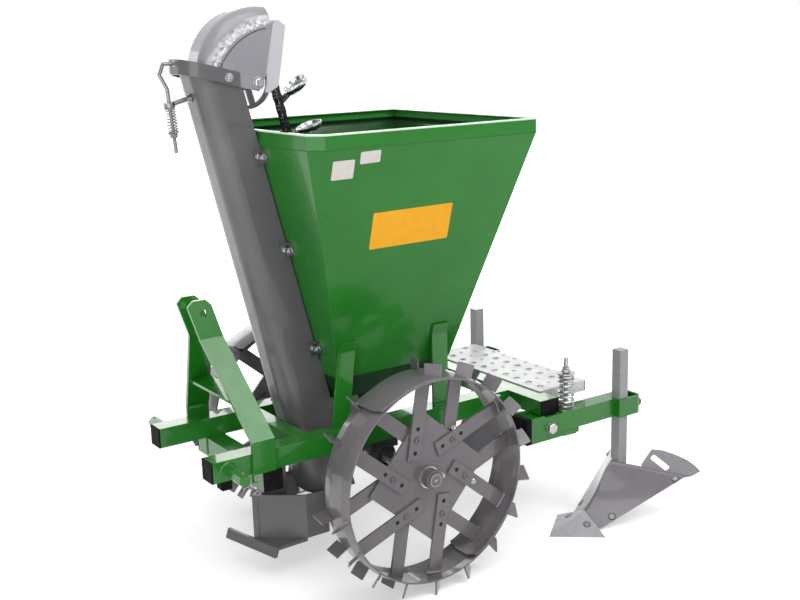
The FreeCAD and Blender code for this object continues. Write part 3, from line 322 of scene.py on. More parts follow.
# Paler grey on the wheel welds: a painted highlight over the wheel's grey paint.
painted("wheel_weld_painted_highlight", rgb(140, 137, 140), rgb(112, 108, 112), rgb(196, 194, 196), 0.28, 0.9)
# Near-white hem colour: a painted highlight along the hopper's rolled rim edge, not the green paint's own colour.
painted("hem_painted_highlight", rgb(206, 226, 204), rgb(180, 208, 178), rgb(240, 244, 240), 0.25, 0.8)
zinc("zinc_hardware", (0.44, 0.44, 0.45), 0.30)
zinc("dull_zinc", (0.24, 0.24, 0.245), 0.36)
zinc("bare_shaft_steel", (0.34, 0.34, 0.35), 0.32)
zinc("worn_sprocket", (0.16, 0.155, 0.15), 0.42)
zinc("clamp_zinc", (0.19, 0.19, 0.198), 0.30)
zinc("cup_zinc", (0.66, 0.67, 0.68), 0.22)

BLACK = ((0.3, (0.004, 0.003, 0.004)), (0.7, (0.010, 0.009, 0.010)))
mottled("black_plastic", (40.0,), *BLACK, (900.0, 2.0), (0.2, 0.0003, 0.0008), rough=0.6, specular=0.05)
PLATE_TONES = ((0.30, rgb(186, 187, 188)), (0.6, rgb(208, 209, 208)))
PLATE_GLOSS = {"rough": 0.45, "coat": 0.3, "coat_rough": 0.2, "coat_ior": 1.3}
mottled("pale_step_plate", (16.0, 5.0, 0.65), *PLATE_TONES, (240.0, 3.0), (0.10, 0.0004, 0.001), **PLATE_GLOSS)
IRON = ((0.3, (0.012, 0.012, 0.013)), (0.75, (0.035, 0.034, 0.034)))
mottled("black_cast_housing", (30.0, 4.0), *IRON, (260.0, 4.0, 0.6), (0.5, 0.0008, 0.002), rough=0.6, specular=0.4)
OILED = ((0.3, (0.005, 0.004, 0.005)), (0.7, (0.020, 0.018, 0.019)))
chain = mottled(
    "dark_chain_steel", (70.0, 4.0), *OILED, (300.0, 3.0), (0.25, 0.0004, 0.0008), rough=0.38, specular=0.35
)
chain.set("Roughness", chain.scaled(chain.noise(140.0, 4.0), 0.25, 0.60, 0.3, 0.7))
BEAD = ((0.34, rgb(136, 135, 140)), (0.64, rgb(206, 205, 210)))
BEAD_GLOSS = {"rough": 0.26, "coat": 0.8, "coat_rough": 0.08, "coat_ior": 1.3}
mottled("weld_bead", (130.0, 4.0), *BEAD, (260.0, 3.0), (0.5, 0.0010), **BEAD_GLOSS)
LABEL_GLOSS = {"rough": 0.34, "specular": 0.2, "coat": 0.3, "coat_ior": 1.3}
for name, shade, tone in (
    ("white_label", rgb(186, 180, 177), rgb(196, 190, 187)),
    ("yellow_label", rgb(216, 150, 4), rgb(222, 158, 4)),
):
    mottled(name, (60.0, 3.0), (0.3, shade), (0.65, tone), (60.0, 2.0), (0.06, 0.0004), **LABEL_GLOSS)
# The near-black row is painted shade, laid in gaps, grooves, rings round bolt heads and discs that stand for holes.
for name, shade, tone, rough in (
    ("seam_shadow", rgb(30, 78, 34), rgb(40, 94, 42), 0.45),
    ("painted_gap_shade", rgb(14, 12, 14), rgb(26, 24, 26), 0.7),
):
    mottled(name, (80.0, 3.0), (0.3, shade), (0.7, tone), (300.0, 2.0), (0.1, 0.0003), rough=rough, specular=0.3)

OWN_LOOK = {
    # the boot's darker green is painted shade
    "hopper_boot": "boot_green_painted_shade",
    "tube_clamps": "clamp_zinc",
    "top_sprocket": "worn_sprocket",
    "tension_rod": "dull_zinc",
    "rod_eye_bar": "dull_zinc",
    "ridger_points": "share_steel",
    "ridger_tine_left": "tine_steel",
    "ridger_tine_right": "tine_steel",
}


def dress_frame():
    """Each CAD node gets its slot's material, or a look of its own."""
    slot_of = {part["node"]: part["material_slot"] for part in frame["record"]["subparts"]}
    for name, node in nodes.items():
        node.data.materials.clear()
        node.data.materials.append(looks[OWN_LOOK.get(name, slot_of[name])])


# ---- shapes ----
def build(name, slot, make, look=None, smooth=30.0, bevel=0.0, body="frame"):
    """One piece from a function that fills a bmesh, riding on a body."""
    bm = bmesh.new()
    make(bm)
    bmesh.ops.recalc_face_normals(bm, faces=bm.faces)
    mesh = bpy.data.meshes.new(name)
    bm.to_mesh(mesh)
    bm.free()
    piece = bpy.data.objects.new(name, mesh)
    scene.collection.objects.link(piece)
    mesh.materials.append(looks[look or slot])
    if smooth:
        mesh.shade_smooth()
        mesh.set_sharp_from_angle(angle=radians(smooth))
    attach(piece, body)
    if bevel:
        modifier = piece.modifiers.new("bevel", "BEVEL")
        modifier.width = bevel
        modifier.segments = 2
        modifier.limit_method = "ANGLE"
    return piece


def frame_along(direction, hint=UP):
    """Rotation whose z axis runs along a direction."""
    z = direction.normalized()
    if abs(z.dot(hint)) > 0.95:
        hint = FORWARD
    x = hint.cross(z).normalized()
    return Matrix((x, z.cross(x), z)).transposed().to_4x4()


def put(at, direction, turn=0.0):
    """Matrix that stands a piece built along +Z at a place, along a direction."""
    return Matrix.Translation(at) @ frame_along(direction) @ Matrix.Rotation(turn, 4, "Z")


def circle(sides, radius, height=0.0):
    """Points of a circle round the z axis."""
    angles = [2 * pi * step / sides for step in range(sides)]
    return [Vector((radius * cos(angle), radius * sin(angle), height)) for angle in angles]


def skin(bm, rings, ends=False, closed=False):
    """Faces between successive rings of vertices, and over the end rings."""
    pairs = list(zip(rings, rings[1:]))
    if closed:
        pairs.append((rings[-1], rings[0]))
    for lower, upper in pairs:
        for step in range(max(len(lower), len(upper))):
            loop = []
            for ring, at in ((lower, step), (lower, step + 1), (upper, step + 1), (upper, step)):
                if ring[at % len(ring)] not in loop:
                    loop.append(ring[at % len(ring)])
            bm.faces.new(loop)
    if ends:
        bm.faces.new(rings[0][::-1])
        bm.faces.new(rings[-1])


def lathe(bm, profile, place, sides=24, closed=True, ends=False):
    """Turned form from (radius, height) pairs in millimetres."""
    rings = []
    for radius, height in profile:
        spots = circle(sides if radius else 1, mm(radius), mm(height))
        rings.append([bm.verts.new(place @ spot) for spot in spots])
    skin(bm, rings, ends, closed)


def hex_prism(bm, across, low, high, place, chamfer=0.9):
    """Hexagonal nut or bolt head, its corners turned down at both ends."""
    flat = across / 2
    corner = flat / cos(pi / 6)
    rise = (corner - flat) * chamfer
    profile = [(flat - 0.4, low), (corner, low + rise), (corner, high - rise), (flat - 0.4, high)]
    lathe(bm, profile, place, 6, closed=False, ends=True)


def washer(bm, radius, hole, low, thick, place, sides=28):
    edge = min(0.4, thick / 3)
    outside = [(radius - edge, low), (radius, low + edge), (radius, low + thick - edge), (radius - edge, low + thick)]
    lathe(bm, [(hole, low), *outside, (hole, low + thick)], place, sides)


def thread(bm, radius, low, high, place, pitch=1.75, sides=16):
    """Screw end, shown as rings as fine as its pitch."""
    root = radius - pitch * 0.3
    profile = [(0, low), (root, low)]
    height = low
    while height + pitch < high:
        profile += [(radius, height + pitch * 0.5), (root, height + pitch)]
        height += pitch
    lathe(bm, profile + [(root, high), (0, high)], place, sides, closed=False)


def bolt(bm, at, direction, size=10.0, head="nut", stick_out=4.0, turn=0.3, washer_radius=None):
    """Bolt end on a face: a washer, then a head, or a nut with the screw end through it."""
    place = put(at, direction, turn)
    sunk = -0.6
    thick = 0.16 * size
    washer(bm, washer_radius or size, size * 0.4, sunk, thick - sunk, place)
    across = size * 1.65
    top = thick + size * (0.82 if head == "nut" else 0.64)
    hex_prism(bm, across, thick, top, place)
    if head == "nut":
        thread(bm, size / 2, top - 0.5, top + stick_out, place, size * 0.15)
    else:
        dome = [(0, top + 0.35), (across * 0.36, top + 0.35), (across * 0.44, top - 0.3)]
        lathe(bm, dome, place, 20, closed=False)


def button(bm, at, direction, radius, height):
    """Domed bolt head with a round socket."""
    dome = [(0.98, None), (1.0, 0.12), (0.93, 0.5), (0.76, 0.84), (0.5, 1.0), (0.42, 0.96), (0.38, 0.5), (0, 0.42)]
    profile = [(radius * out, -0.5 if rise is None else height * rise) for out, rise in dome]
    lathe(bm, profile, put(at, direction), 28, closed=False)


def sweep(bm, points, radius, sides=10):
    """Round bar along a list of points, its cross-section carried smoothly along."""
    rings = []
    turns = [2 * pi * step / sides for step in range(sides)]
    side = (points[1] - points[0]).normalized().orthogonal().normalized()
    for before, point, after in zip(points[:1] + points, points, points[1:] + points[-1:]):
        ahead = (after - before).normalized()
        side = (side - ahead * side.dot(ahead)).normalized()
        other = ahead.cross(side)
        rings.append([bm.verts.new(point + (side * cos(turn) + other * sin(turn)) * radius) for turn in turns])
    skin(bm, rings, ends=True)


def slab(bm, corners, thick, normal):
    """Flat plate from its corners, raised along its normal."""
    lift = normal.normalized() * thick
    skin(bm, [[bm.verts.new(c) for c in corners], [bm.verts.new(c + lift) for c in corners]], ends=True)


def curved_plate(bm, front, back):
    """Plate between two grids of points, closed all round by narrow faces."""
    grids = [[[bm.verts.new(point) for point in row] for row in grid] for grid in (front, back)]
    tall, wide = len(front) - 1, len(front[0]) - 1
    for grid in grids:
        for i in range(tall):
            for j in range(wide):
                bm.faces.new([grid[i][j], grid[i][j + 1], grid[i + 1][j + 1], grid[i + 1][j]])
    rim = [(0, j) for j in range(wide)] + [(i, wide) for i in range(tall)]
    rim += [(tall, j) for j in range(wide, 0, -1)] + [(i, 0) for i in range(tall, 0, -1)]
    for (i, j), (k, m) in zip(rim, rim[1:] + rim[:1]):
        bm.faces.new([grids[0][i][j], grids[0][k][m], grids[1][k][m], grids[1][i][j]])


# ---- hopper ----
RIM_HEIGHT = mm(35.0)
SIDE_SLOPE = 0.313
CORNER_CUT = mm(30.0)


def lump(bm, at, size, direction=UP, flat=0.6, seed=0):
    """Small uneven blob of weld metal."""
    made = bmesh.ops.create_icosphere(bm, subdivisions=2, radius=1.0)
    turn = frame_along(direction)
    for index, vert in enumerate(made["verts"]):
        ripple = 1.0 + 0.10 * sin(index * 2.3 + seed * 1.7)
        spot = Vector((vert.co.x * size, vert.co.y * size, vert.co.z * size * flat)) * ripple
        vert.co = at + turn @ spot


def weld_line(bm, start, end, size, direction, seed=0):
    """Row of overlapping weld ripples between two places."""
    count = max(2, int((end - start).length / (size * 0.9)))
    for step in range(count):
        at = start.lerp(end, (step + 0.5) / count)
        lump(bm, at, size * (1 + 0.14 * sin(step * 2.1 + seed)), direction, 0.55, step + seed)


def hopper_side_y(z):
    return hopper_high.y - SIDE_SLOPE * max(hopper_high.z - RIM_HEIGHT - z, 0.0)


def rim_bar(bm, z, out, radius, sides):
    """Round bar along the hopper's outline near the rim, pushed out a little."""
    front, rear, half = hopper_high.x + out, hopper_low.x - out, hopper_high.y + out
    cut = CORNER_CUT
    spots = ((rear, half), (front - cut, half), (front, half - cut))
    spots += tuple((x, -y) for x, y in spots[::-1])
    loop = [Vector((x, y, z)) for x, y in spots]
    for start, end in zip(loop, loop[1:] + loop[:1]):
        sweep(bm, [start, end], radius, sides)


def make_hopper_trim():
    def hem(bm):
        rim_bar(bm, hopper_high.z - mm(1.6), -mm(0.8), mm(2.4), 12)

    def seam(bm):
        rim_bar(bm, hopper_high.z - RIM_HEIGHT, mm(0.1), mm(0.9), 8)

    def corner_tacks(bm):
        for index, height in enumerate((1040, 930, 820, 712, 610)):
            z = mm(height)
            fall = hopper_high.z - RIM_HEIGHT - z
            x = hopper_high.x - fall * tan(TUBE_LEAN) - CORNER_CUT * max(1 - fall / mm(319), 0.02)
            for side in SIDES:
                lump(bm, Vector((x, side * (hopper_side_y(z) + mm(0.2)), z)), mm(2.6), LEFT * side, 0.5, index)

    # The hem is drawn in a near-white painted highlight.
    build("hopper_hem", "hopper_green_paint", hem, "hem_painted_highlight")
    build("hopper_fold_seam", "hopper_green_paint", seam, "seam_shadow")
    build("hopper_corner_tacks", "hopper_green_paint", corner_tacks, "seam_shadow")


def make_label(name, look, centre_x, centre_z, width, height, tilt):
    """Thin blank plate on the hopper's left wall, with rounded corners."""
    corner = 3.0
    wall = Vector((0, 1, -SIDE_SLOPE)).normalized()
    up_wall = Vector((0, SIDE_SLOPE, 1)).normalized()
    centre = here(centre_x, 0, centre_z)
    centre.y = hopper_side_y(centre.z) + mm(0.05)
    turn = radians(tilt)
    across = -FORWARD * cos(turn) + up_wall * sin(turn)
    above = up_wall * cos(turn) + FORWARD * sin(turn)

    def plate(bm):
        corners = []
        for sx, sz, start in ((1, 1, 0), (-1, 1, 90), (-1, -1, 180), (1, -1, 270)):
            for step in range(4):
                angle = radians(start + 30 * step)
                spot_x = sx * (width / 2 - corner) + corner * cos(angle)
                spot_z = sz * (height / 2 - corner) + corner * sin(angle)
                corners.append(centre + across * mm(spot_x) + above * mm(spot_z))
        slab(bm, corners, mm(0.5), wall)

    build(name, "hopper_green_paint", plate, look, 0)


def make_hopper_welds():
    """Welds where the support bars meet the beams."""
    beam_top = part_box("main_beam_left")[1].z

    def at_foot(x, y, rise):
        return here(x, y, 0) + UP * (beam_top + mm(rise))

    def welds(bm):
        for foot_x in (97.0, -208.0):
            for side in SIDES:
                for edge in (3.0, 45.0):
                    lump(bm, at_foot(foot_x + edge, side * 159.5, 1.0), mm(4.5), UP, 0.6, int(edge))
                start, end = (at_foot(foot_x + along, side * 158.5, 0.6) for along in (6, 42))
                weld_line(bm, start, end, mm(3.0), UP, 3)

    build("support_welds", "green_paint", welds)


# ---- elevator ----
top_low, top_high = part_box("top_sprocket")
TOP_SHAFT = (top_low + top_high) / 2
CHAIN_RUN = TOP_SHAFT - AXLE
CHAIN_UP = CHAIN_RUN.normalized()
CHAIN_OUT = Vector((CHAIN_UP.z, 0, -CHAIN_UP.x))
CHAIN_RADIUS = mm(68.2)
CUP_RADIUS = 33.0
CUP_ROOT = mm(74.0)
CUP_REACH = mm(57.0)
CUP_PITCH = mm(120.0)
FIRST_CUP = mm(88.0)
CUP_COUNT = 8
CUP_TIPS = {7: 25.0, 6: 5.0}
CUP_SLIPS = {7: mm(-33.0)}
LINKS = 78
TUBE_LEAN = atan2(236.0, 933.0)
TUBE_OUT = Vector((cos(TUBE_LEAN), 0, -sin(TUBE_LEAN)))


def chain_point(distance):
    """Place along the endless chain, from the foot of its rising run."""
    run = CHAIN_RUN.length
    bend = pi * CHAIN_RADIUS
    distance %= 2 * (run + bend)
    if distance < run:
        return AXLE - CHAIN_OUT * CHAIN_RADIUS + CHAIN_UP * distance
    distance -= run
    if distance < bend:
        turn = distance / CHAIN_RADIUS
        return TOP_SHAFT + (CHAIN_UP * sin(turn) - CHAIN_OUT * cos(turn)) * CHAIN_RADIUS
    distance -= bend
    if distance < run:
        return TOP_SHAFT + CHAIN_OUT * CHAIN_RADIUS - CHAIN_UP * distance
    turn = (distance - run) / CHAIN_RADIUS
    return AXLE + (CHAIN_OUT * cos(turn) - CHAIN_UP * sin(turn)) * CHAIN_RADIUS


def make_chain():
    pitch = 2 * (CHAIN_RUN.length + pi * CHAIN_RADIUS) / LINKS
    upper_edge = ((-3.5, 3.4), (2.5, 6.4), (9.5, 4.6), (20.5, 4.6), (27.5, 6.2), (33.0, 3.4))
    lower_edge = ((33.0, -3.4), (27.5, -5.4), (20.5, -4.2), (9.5, -4.2), (2.5, -5.4), (-3.5, -3.4))
    pin = [(0, -16.2), (3.8, -16.2), (4.8, -15.2), (4.8, 15.2), (3.8, 16.2), (0, 16.2)]
    roller = [(0, -9.2), (5.6, -9.2), (5.6, 9.2), (0, 9.2)]

    def links(bm):
        for index in range(LINKS):
            start, end = chain_point(index * pitch), chain_point((index + 1) * pitch)
            along = (end - start).normalized()
            out = along.cross(LEFT).normalized()
            for side in SIDES:
                inner = start + LEFT * side * mm(9.0)
                corners = [inner + along * mm(far) + out * mm(tall) for far, tall in upper_edge + lower_edge]
                slab(bm, corners, mm(5.8), LEFT * side)
            lathe(bm, pin, put(start, LEFT), 12, closed=False)
            lathe(bm, roller, put(start + along * mm(7.5) + out * mm(1.5), LEFT), 12, closed=False)

    chain = build("chain_links", "dark_chain_steel", links)
    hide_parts("cup_chain")

    def cup_places():
        """Root on the chain and the outward and upward directions of each cup."""
        for step in range(CUP_COUNT):
            climb = FIRST_CUP + CUP_PITCH * step + CUP_SLIPS.get(step, 0.0)
            turn = Matrix.Rotation(radians(CUP_TIPS.get(step, 0.0)), 3, "Y")
            yield AXLE - CHAIN_OUT * CUP_ROOT + CHAIN_UP * climb, turn @ -CHAIN_OUT, turn @ CHAIN_UP

    def cups(bm):
        r = CUP_RADIUS
        profile = [(9.0, -3.2), (r - 11, -6.6), (r - 4.5, -6.0), (r - 1.8, -3.0), (r - 0.2, 3.6), (r, 6.2)]
        profile += [(r - 1.2, 7.0), (r - 3.0, 6.4), (r - 4.0, 3.4), (r - 6.0, -0.8), (r - 11, -3.6), (9.0, -0.6)]
        for root, out, up in cup_places():
            lathe(bm, profile, put(root + out * CUP_REACH, up), 40)

    def arms(bm):
        for root, out, up in cup_places():
            edge = root + out * mm(30.0)
            for rise in (-5.0, 2.0):
                ends = ((edge, 6.0), (root, 8.5), (root, -8.5), (edge, -6.0))
                slab(bm, [end + LEFT * mm(wide) + up * mm(rise) for end, wide in ends], mm(3.0), up)
            hex_prism(bm, 11.0, 0.0, 2.0, put(root + out * mm(11.0) + up * mm(5.0), up))

    build("picking_cups", "dark_chain_steel", cups, "cup_zinc")
    build("cup_arms", "dark_chain_steel", arms)


def arc_through(a, b, c, steps):
    """Points of the circle through three (x, z) places."""
    ux, uz, radius = circle_through(a, b, c)
    start = atan2(a[1] - uz, a[0] - ux)
    end = atan2(c[1] - uz, c[0] - ux)
    angles = [start + (end - start) * step / steps for step in range(steps + 1)]
    return [(ux + radius * cos(angle), uz + radius * sin(angle)) for angle in angles]


HOOD_SIDE = 62.5


def make_hood_details():
    line = arc_through(*HOOD_WELD, 64)

    def beads(bm):
        for side in SIDES:
            for index, (x, z) in enumerate(line):
                drift = (1.1 * sin(index * 1.9) + 0.9 * sin(index * 0.7)) * 0.7
                size = 4.2 + 0.8 * sin(index * 1.3 + 0.6)
                at = here(x + drift, side * (HOOD_SIDE - 0.6), z + drift)
                lump(bm, at, mm(size), LEFT * side, 0.34, index)

    # Painted shade: a dark sweep a little inside the weld line on each hood side.
    def painted_shade_groove(bm):
        inner = [(x - 8.0 * (x - 205) / 150, z - 9.5) for x, z in line[1:-1]]
        for side in SIDES:
            sweep(bm, [here(x, side * (HOOD_SIDE + 0.1), z) for x, z in inner], mm(0.9), 8)

    def tabs(bm):
        for side in SIDES:
            corners = [here(x, side * HOOD_SIDE, z) for x, z in ((306, 1226), (338, 1232), (336, 1271), (304, 1265))]
            slab(bm, corners, mm(2.5), LEFT * side)

    def fixings(bm):
        for side in SIDES:
            bolt(bm, here(323, side * 66.5, 1236), LEFT * side, 8.0, "nut", 4.5, 0.3, 10.5)
            place = put(here(248, side * HOOD_SIDE, 1221), LEFT * side, 0.5)
            washer(bm, 15.0, 8.2, -0.3, 2.3, place)
            hex_prism(bm, 21.0, 2.0, 8.0, place)
            thread(bm, 8.4, 7.5, 10.6, place, 1.2, 24)
        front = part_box("hood_band")[1].x
        washer(bm, 7.5, 4.2, -0.3, 0.7, put(Vector((front, 0, mm(1270))), FORWARD), 24)

    build("hood_weld", "hood_grey_paint", beads, "weld_bead", 60)
    build("hood_painted_shade_line", "hood_grey_paint", painted_shade_groove, "painted_gap_shade")
    build("hood_tabs", "hood_grey_paint", tabs, None, 0, mm(0.8))
    build("hood_fixings", "zinc_hardware", fixings)


def coil(bm, start, end, radius, wire, turns, steps=20):
    """Compression spring with its end turns lying flat."""
    flat_turns = 0.8
    along = end - start
    turn_frame = frame_along(along).to_3x3()
    length = along.length - 2 * wire
    points = []
    for step in range(int(turns * steps) + 1):
        turn = step / steps
        inner = min(max((turn - flat_turns) / (turns - 2 * flat_turns), 0.0), 1.0)
        rise = wire + (length - 4 * wire * flat_turns) * inner
        rise += 2 * wire * (min(turn, flat_turns) + max(turn - (turns - flat_turns), 0.0))
        angle = 2 * pi * turn
        points.append(start + turn_frame @ Vector((radius * cos(angle), radius * sin(angle), rise)))
    sweep(bm, points, wire, 8)


def make_tension_spring():
    eye_low, eye_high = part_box("rod_eye_bar")
    spring_low, spring_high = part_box("tension_spring")
    low, knee = here(434, 0, 1071), here(446, 0, 1215)
    along = (knee - low).normalized()
    middle = (spring_low + spring_high) / 2
    centre = low + along * (middle - low).dot(along)
    start, end = centre - along * mm(30.0), centre + along * mm(30.0)

    def spring(bm):
        coil(bm, start + along * mm(1.6), end - along * mm(1.6), mm(11.2), mm(1.3), 9.5)

    piece = build("tension_spring_coil", "zinc_hardware", spring, "dull_zinc")
    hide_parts("tension_spring")

    def fixings(bm):
        washer(bm, 13.0, 4.4, 0.0, 1.6, put(start, along))
        washer(bm, 13.0, 4.4, -1.6, 1.6, put(end, along))
        hex_prism(bm, 15.0, -9.4, -0.2, put(start, along, 0.4))
        thread(bm, 4.35, 0.5, 42.0, put(low, along), 1.4)

    def eye_nut(bm):
        place = put(Vector((eye_low.x + mm(2.0), 0, eye_high.z - mm(5.5))), TUBE_OUT, 0.2)
        washer(bm, 10.0, 5.2, 0.0, 1.8, place)
        hex_prism(bm, 16.0, 1.8, 9.0, place)

    build("tension_rod_fixings", "zinc_hardware", fixings, "dull_zinc")
    build("eye_bolt_nut", "zinc_hardware", eye_nut)


CLAMP_HEIGHTS = (1067.0, 840.0, 585.0)
TUBE_REAR = 52.0
AXLE_HEIGHT = 288.0


def tube_place(offset, y, height):
    """Place in the tube's leaning directions, in millimetres from the axle line."""
    along = (height - AXLE_HEIGHT) / cos(TUBE_LEAN)
    x = offset * cos(TUBE_LEAN) + along * sin(TUBE_LEAN)
    z = AXLE_HEIGHT - offset * sin(TUBE_LEAN) + along * cos(TUBE_LEAN)
    return here(x, y, z)


def make_tube_details():
    low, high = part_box("elevator_tube")
    half = (high.y - low.y) * 500

    def bolts(bm):
        for height in CLAMP_HEIGHTS:
            for side in SIDES:
                ear = tube_place(TUBE_REAR + 3.0, side * 76.0, height)
                bolt(bm, ear, TUBE_OUT, 8.0, "nut", 5.0, 0.2, 9.5)
                cheek = tube_place(TUBE_REAR + 12.0, side * 63.0, height + 2)
                bolt(bm, cheek, LEFT * side, 6.0, "hex", 2.0, 0.7, 6.6)

    def gap(bm):
        """Painted shadow: a dark line where the tube's rear corners lie against the hopper."""
        for side in SIDES:
            ends = [tube_place(TUBE_REAR + 1.0, side * (half - 1.0), height) for height in (1052.0, 548.0)]
            sweep(bm, ends, mm(2.0), 8)

    build("tube_clamp_bolts", "zinc_hardware", bolts)
    build("tube_painted_shadow_line", "grey_paint", gap, "painted_gap_shade")


# ---- frame and hitch ----
def ring_loop(bm, centre, axis, radius, wire):
    """Round wire bent to a full ring."""
    turn = frame_along(axis).to_3x3()
    lift = axis.normalized()
    rings = []
    for spot in circle(28, radius):
        outward = (turn @ spot).normalized()
        around = circle(8, wire)
        rings.append([bm.verts.new(centre + turn @ spot + outward * p.x + lift * p.y) for p in around])
    skin(bm, rings, closed=True)


def make_hitch_details():
    pin_ends = []
    for side, name in ((1, "hitch_pin_left"), (-1, "hitch_pin_right")):
        low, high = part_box(name)
        end_y = high.y if side > 0 else low.y
        pin_ends.append((side, Vector(((low.x + high.x) / 2, end_y, (low.z + high.z) / 2))))

    def sleeves(bm):
        for side, end in pin_ends:
            hex_prism(bm, 26.5, -54.0, -1.0, put(end, LEFT * side, 0.25), 0.5)

    def pins(bm):
        for side, end in pin_ends:
            centre = end - LEFT * side * mm(9.0)
            sweep(bm, [centre + UP * mm(17), centre - UP * mm(22)], mm(2.2))
            ring_loop(bm, centre - UP * mm(19) - FORWARD * mm(17), Vector((0.2, -0.9 * side, 1)), mm(17), mm(1.2))

    def bolts(bm):
        for side in SIDES:
            bolt(bm, here(-37.0, side * 175.0, 362.0), LEFT * side, 8.0, "hex", 2.0, 0.2, 9.0)

    def stop(bm):
        outline = ((432, 311), (455, 311), (458, 314), (458, 333), (430, 333), (430, 313))
        slab(bm, [here(x, 152.0, z) for x, z in outline], mm(23.0), LEFT)

    build("hitch_pin_sleeves", "green_paint", sleeves)
    build("linch_pins", "bare_shaft_steel", pins, "dull_zinc")
    build("beam_bolts", "zinc_hardware", bolts)
    build("beam_stop", "black_plastic", stop, None, 0)


def make_frame_welds():
    """Painted welds where the frame's members meet."""
    beam_low, beam_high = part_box("main_beam_left")
    rear_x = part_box("rear_cross_beam")[1].x + mm(0.6)
    collar = [(16.5, 6.2), (17.4, 3.4), (18.6, 1.4), (21.2, -0.3), (16.5, -0.3)]

    def upright(bm, x, y, low_z, high_z, direction, seed):
        weld_line(bm, Vector((x, y, low_z)), Vector((x, y, high_z)), mm(3.2), direction, seed)

    def welds(bm):
        for side in SIDES:
            for name in ("front_cross_tube", "middle_cross_tube"):
                low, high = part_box(name)
                y = side * (beam_low.y - mm(0.6))
                for x in (low.x, high.x):
                    upright(bm, x, y, low.z + mm(6), high.z - mm(2), LEFT * side, 5)
            for y in (beam_low.y, beam_high.y):
                upright(bm, rear_x, side * y, beam_low.z + mm(8), beam_high.z - mm(2), FORWARD, 2)
        for side in SIDES:
            low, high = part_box("hitch_pin_left")
            root = Vector(((low.x + high.x) / 2, side * low.y, (low.z + high.z) / 2))
            lathe(bm, collar, put(root, LEFT * side), 36)

    build("frame_welds", "green_paint", welds, None, 60)


def make_bearing_faces():
    """Ribbed faces of the axle bearings."""
    face_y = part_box("axle_bearings")[1].y
    profile = [(15.4, -0.4), (15.4, 2.6), (19.5, 2.6), (20.2, 0.6), (23.2, 0.6)]
    profile += [(24.0, 3.2), (29.0, 3.2), (30.0, 2.2), (30.6, -0.4)]

    def faces(bm):
        for side in SIDES:
            lathe(bm, profile, put(AXLE + LEFT * side * face_y, LEFT * side), 40)

    build("bearing_faces", "black_cast_housing", faces)


# ---- foot plate ----
HOLE_PITCH = 48.7
HOLE_SIDES = 24
HOLE_ROWS = ((-476.5, 17.0, 8.6), (-517.5, 5.6, 4.2), (-557.0, 21.8, 8.6), (-596.3, 11.5, 4.2))
ROW_LINES = (-497.0, -537.0, -577.0)


def hole_in_cell(bm, centre, near, far, radius, faces_up):
    """Rectangle of sheet round one hole. Returns the hole's rim."""
    x, y, z = centre
    tiny = 1e-6
    ring, rim = [], []
    for spot in circle(HOLE_SIDES, 1.0):
        c, s = spot.x, spot.y
        ring.append(bm.verts.new((x + radius * c, y + radius * s, z)))
        reach_x = ((near[0] if c > 0 else far[0]) - x) / c if abs(c) > tiny else 1e9
        reach_y = ((near[1] if s > 0 else far[1]) - y) / s if abs(s) > tiny else 1e9
        reach = min(reach_x, reach_y)
        rim.append(bm.verts.new((x + reach * c, y + reach * s, z)))
    for step in range(HOLE_SIDES):
        face = [ring[step - 1], rim[step - 1], rim[step], ring[step]]
        bm.faces.new(face if faces_up else face[::-1])
    for corner_x in (near[0], far[0]):
        for corner_y in (near[1], far[1]):
            corner = Vector((corner_x, corner_y, z))
            ends = {}
            for vert in rim:
                on_x = abs(vert.co.x - corner_x) < tiny
                on_y = abs(vert.co.y - corner_y) < tiny
                same_side = (vert.co.x - x) * (corner_x - x) > 0 and (vert.co.y - y) * (corner_y - y) > 0
                gap = (vert.co - corner).length
                if on_x != on_y and same_side and gap < ends.get(on_x, (1e9, None))[0]:
                    ends[on_x] = (gap, vert)
            if len(ends) == 2:
                bm.faces.new([ends[True][1], bm.verts.new(corner), ends[False][1]])
    return ring


def make_foot_plate():
    low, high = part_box("foot_plate")
    thick = mm(3.0)
    drop = mm(30.0)
    half = high.y
    top_z, sheet_z = high.z, high.z - thick
    lines = [high.x] + [here(x, 0, 0).x for x in ROW_LINES] + [low.x]
    beam_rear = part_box("rear_cross_beam")[0].x - mm(1.0)

    def perforated(bm):
        for (row_x, first_y, radius), near_x, far_x in zip(HOLE_ROWS, lines, lines[1:]):
            centre_x = here(row_x, 0, 0).x
            holes = [first_y + HOLE_PITCH * k for k in range(-6, 6)]
            holes = [y for y in holes if abs(y) < half * 1000 - 18]
            edges = [-half * 1000] + [(a + b) / 2 for a, b in zip(holes, holes[1:])] + [half * 1000]
            for y, right_y, left_y in zip(holes, edges, edges[1:]):
                near, far = (near_x, mm(left_y)), (far_x, mm(right_y))
                rings = []
                for z in (top_z, sheet_z):
                    rings.append(hole_in_cell(bm, (centre_x, mm(y), z), near, far, mm(radius), z == top_z))
                skin(bm, rings)
                lip = [(radius, -0.3), (radius, 1.3), (radius + 0.7, 1.7), (radius + 2.4, -0.2)]
                lathe(bm, lip, Matrix.Translation((centre_x, mm(y), top_z)), 24)

    def sheet(bm):
        perforated(bm)
        rim = ((high.x, -half), (high.x, half), (low.x, half), (low.x, -half))
        skin(bm, [[bm.verts.new((*spot, z)) for spot in rim] for z in (top_z, sheet_z)])
        for start, end, normal in (
            ((low.x, -half), (low.x, half), FORWARD),
            ((low.x, half), (beam_rear, half), -LEFT),
            ((low.x, -half), (beam_rear, -half), LEFT),
        ):
            quad = [(*start, sheet_z), (*end, sheet_z), (*end, top_z - drop), (*start, top_z - drop)]
            slab(bm, [Vector(spot) for spot in quad], thick, normal)

    plate = build("foot_plate_sheet", "pale_step_plate", sheet, None, 0)
    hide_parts("foot_plate")


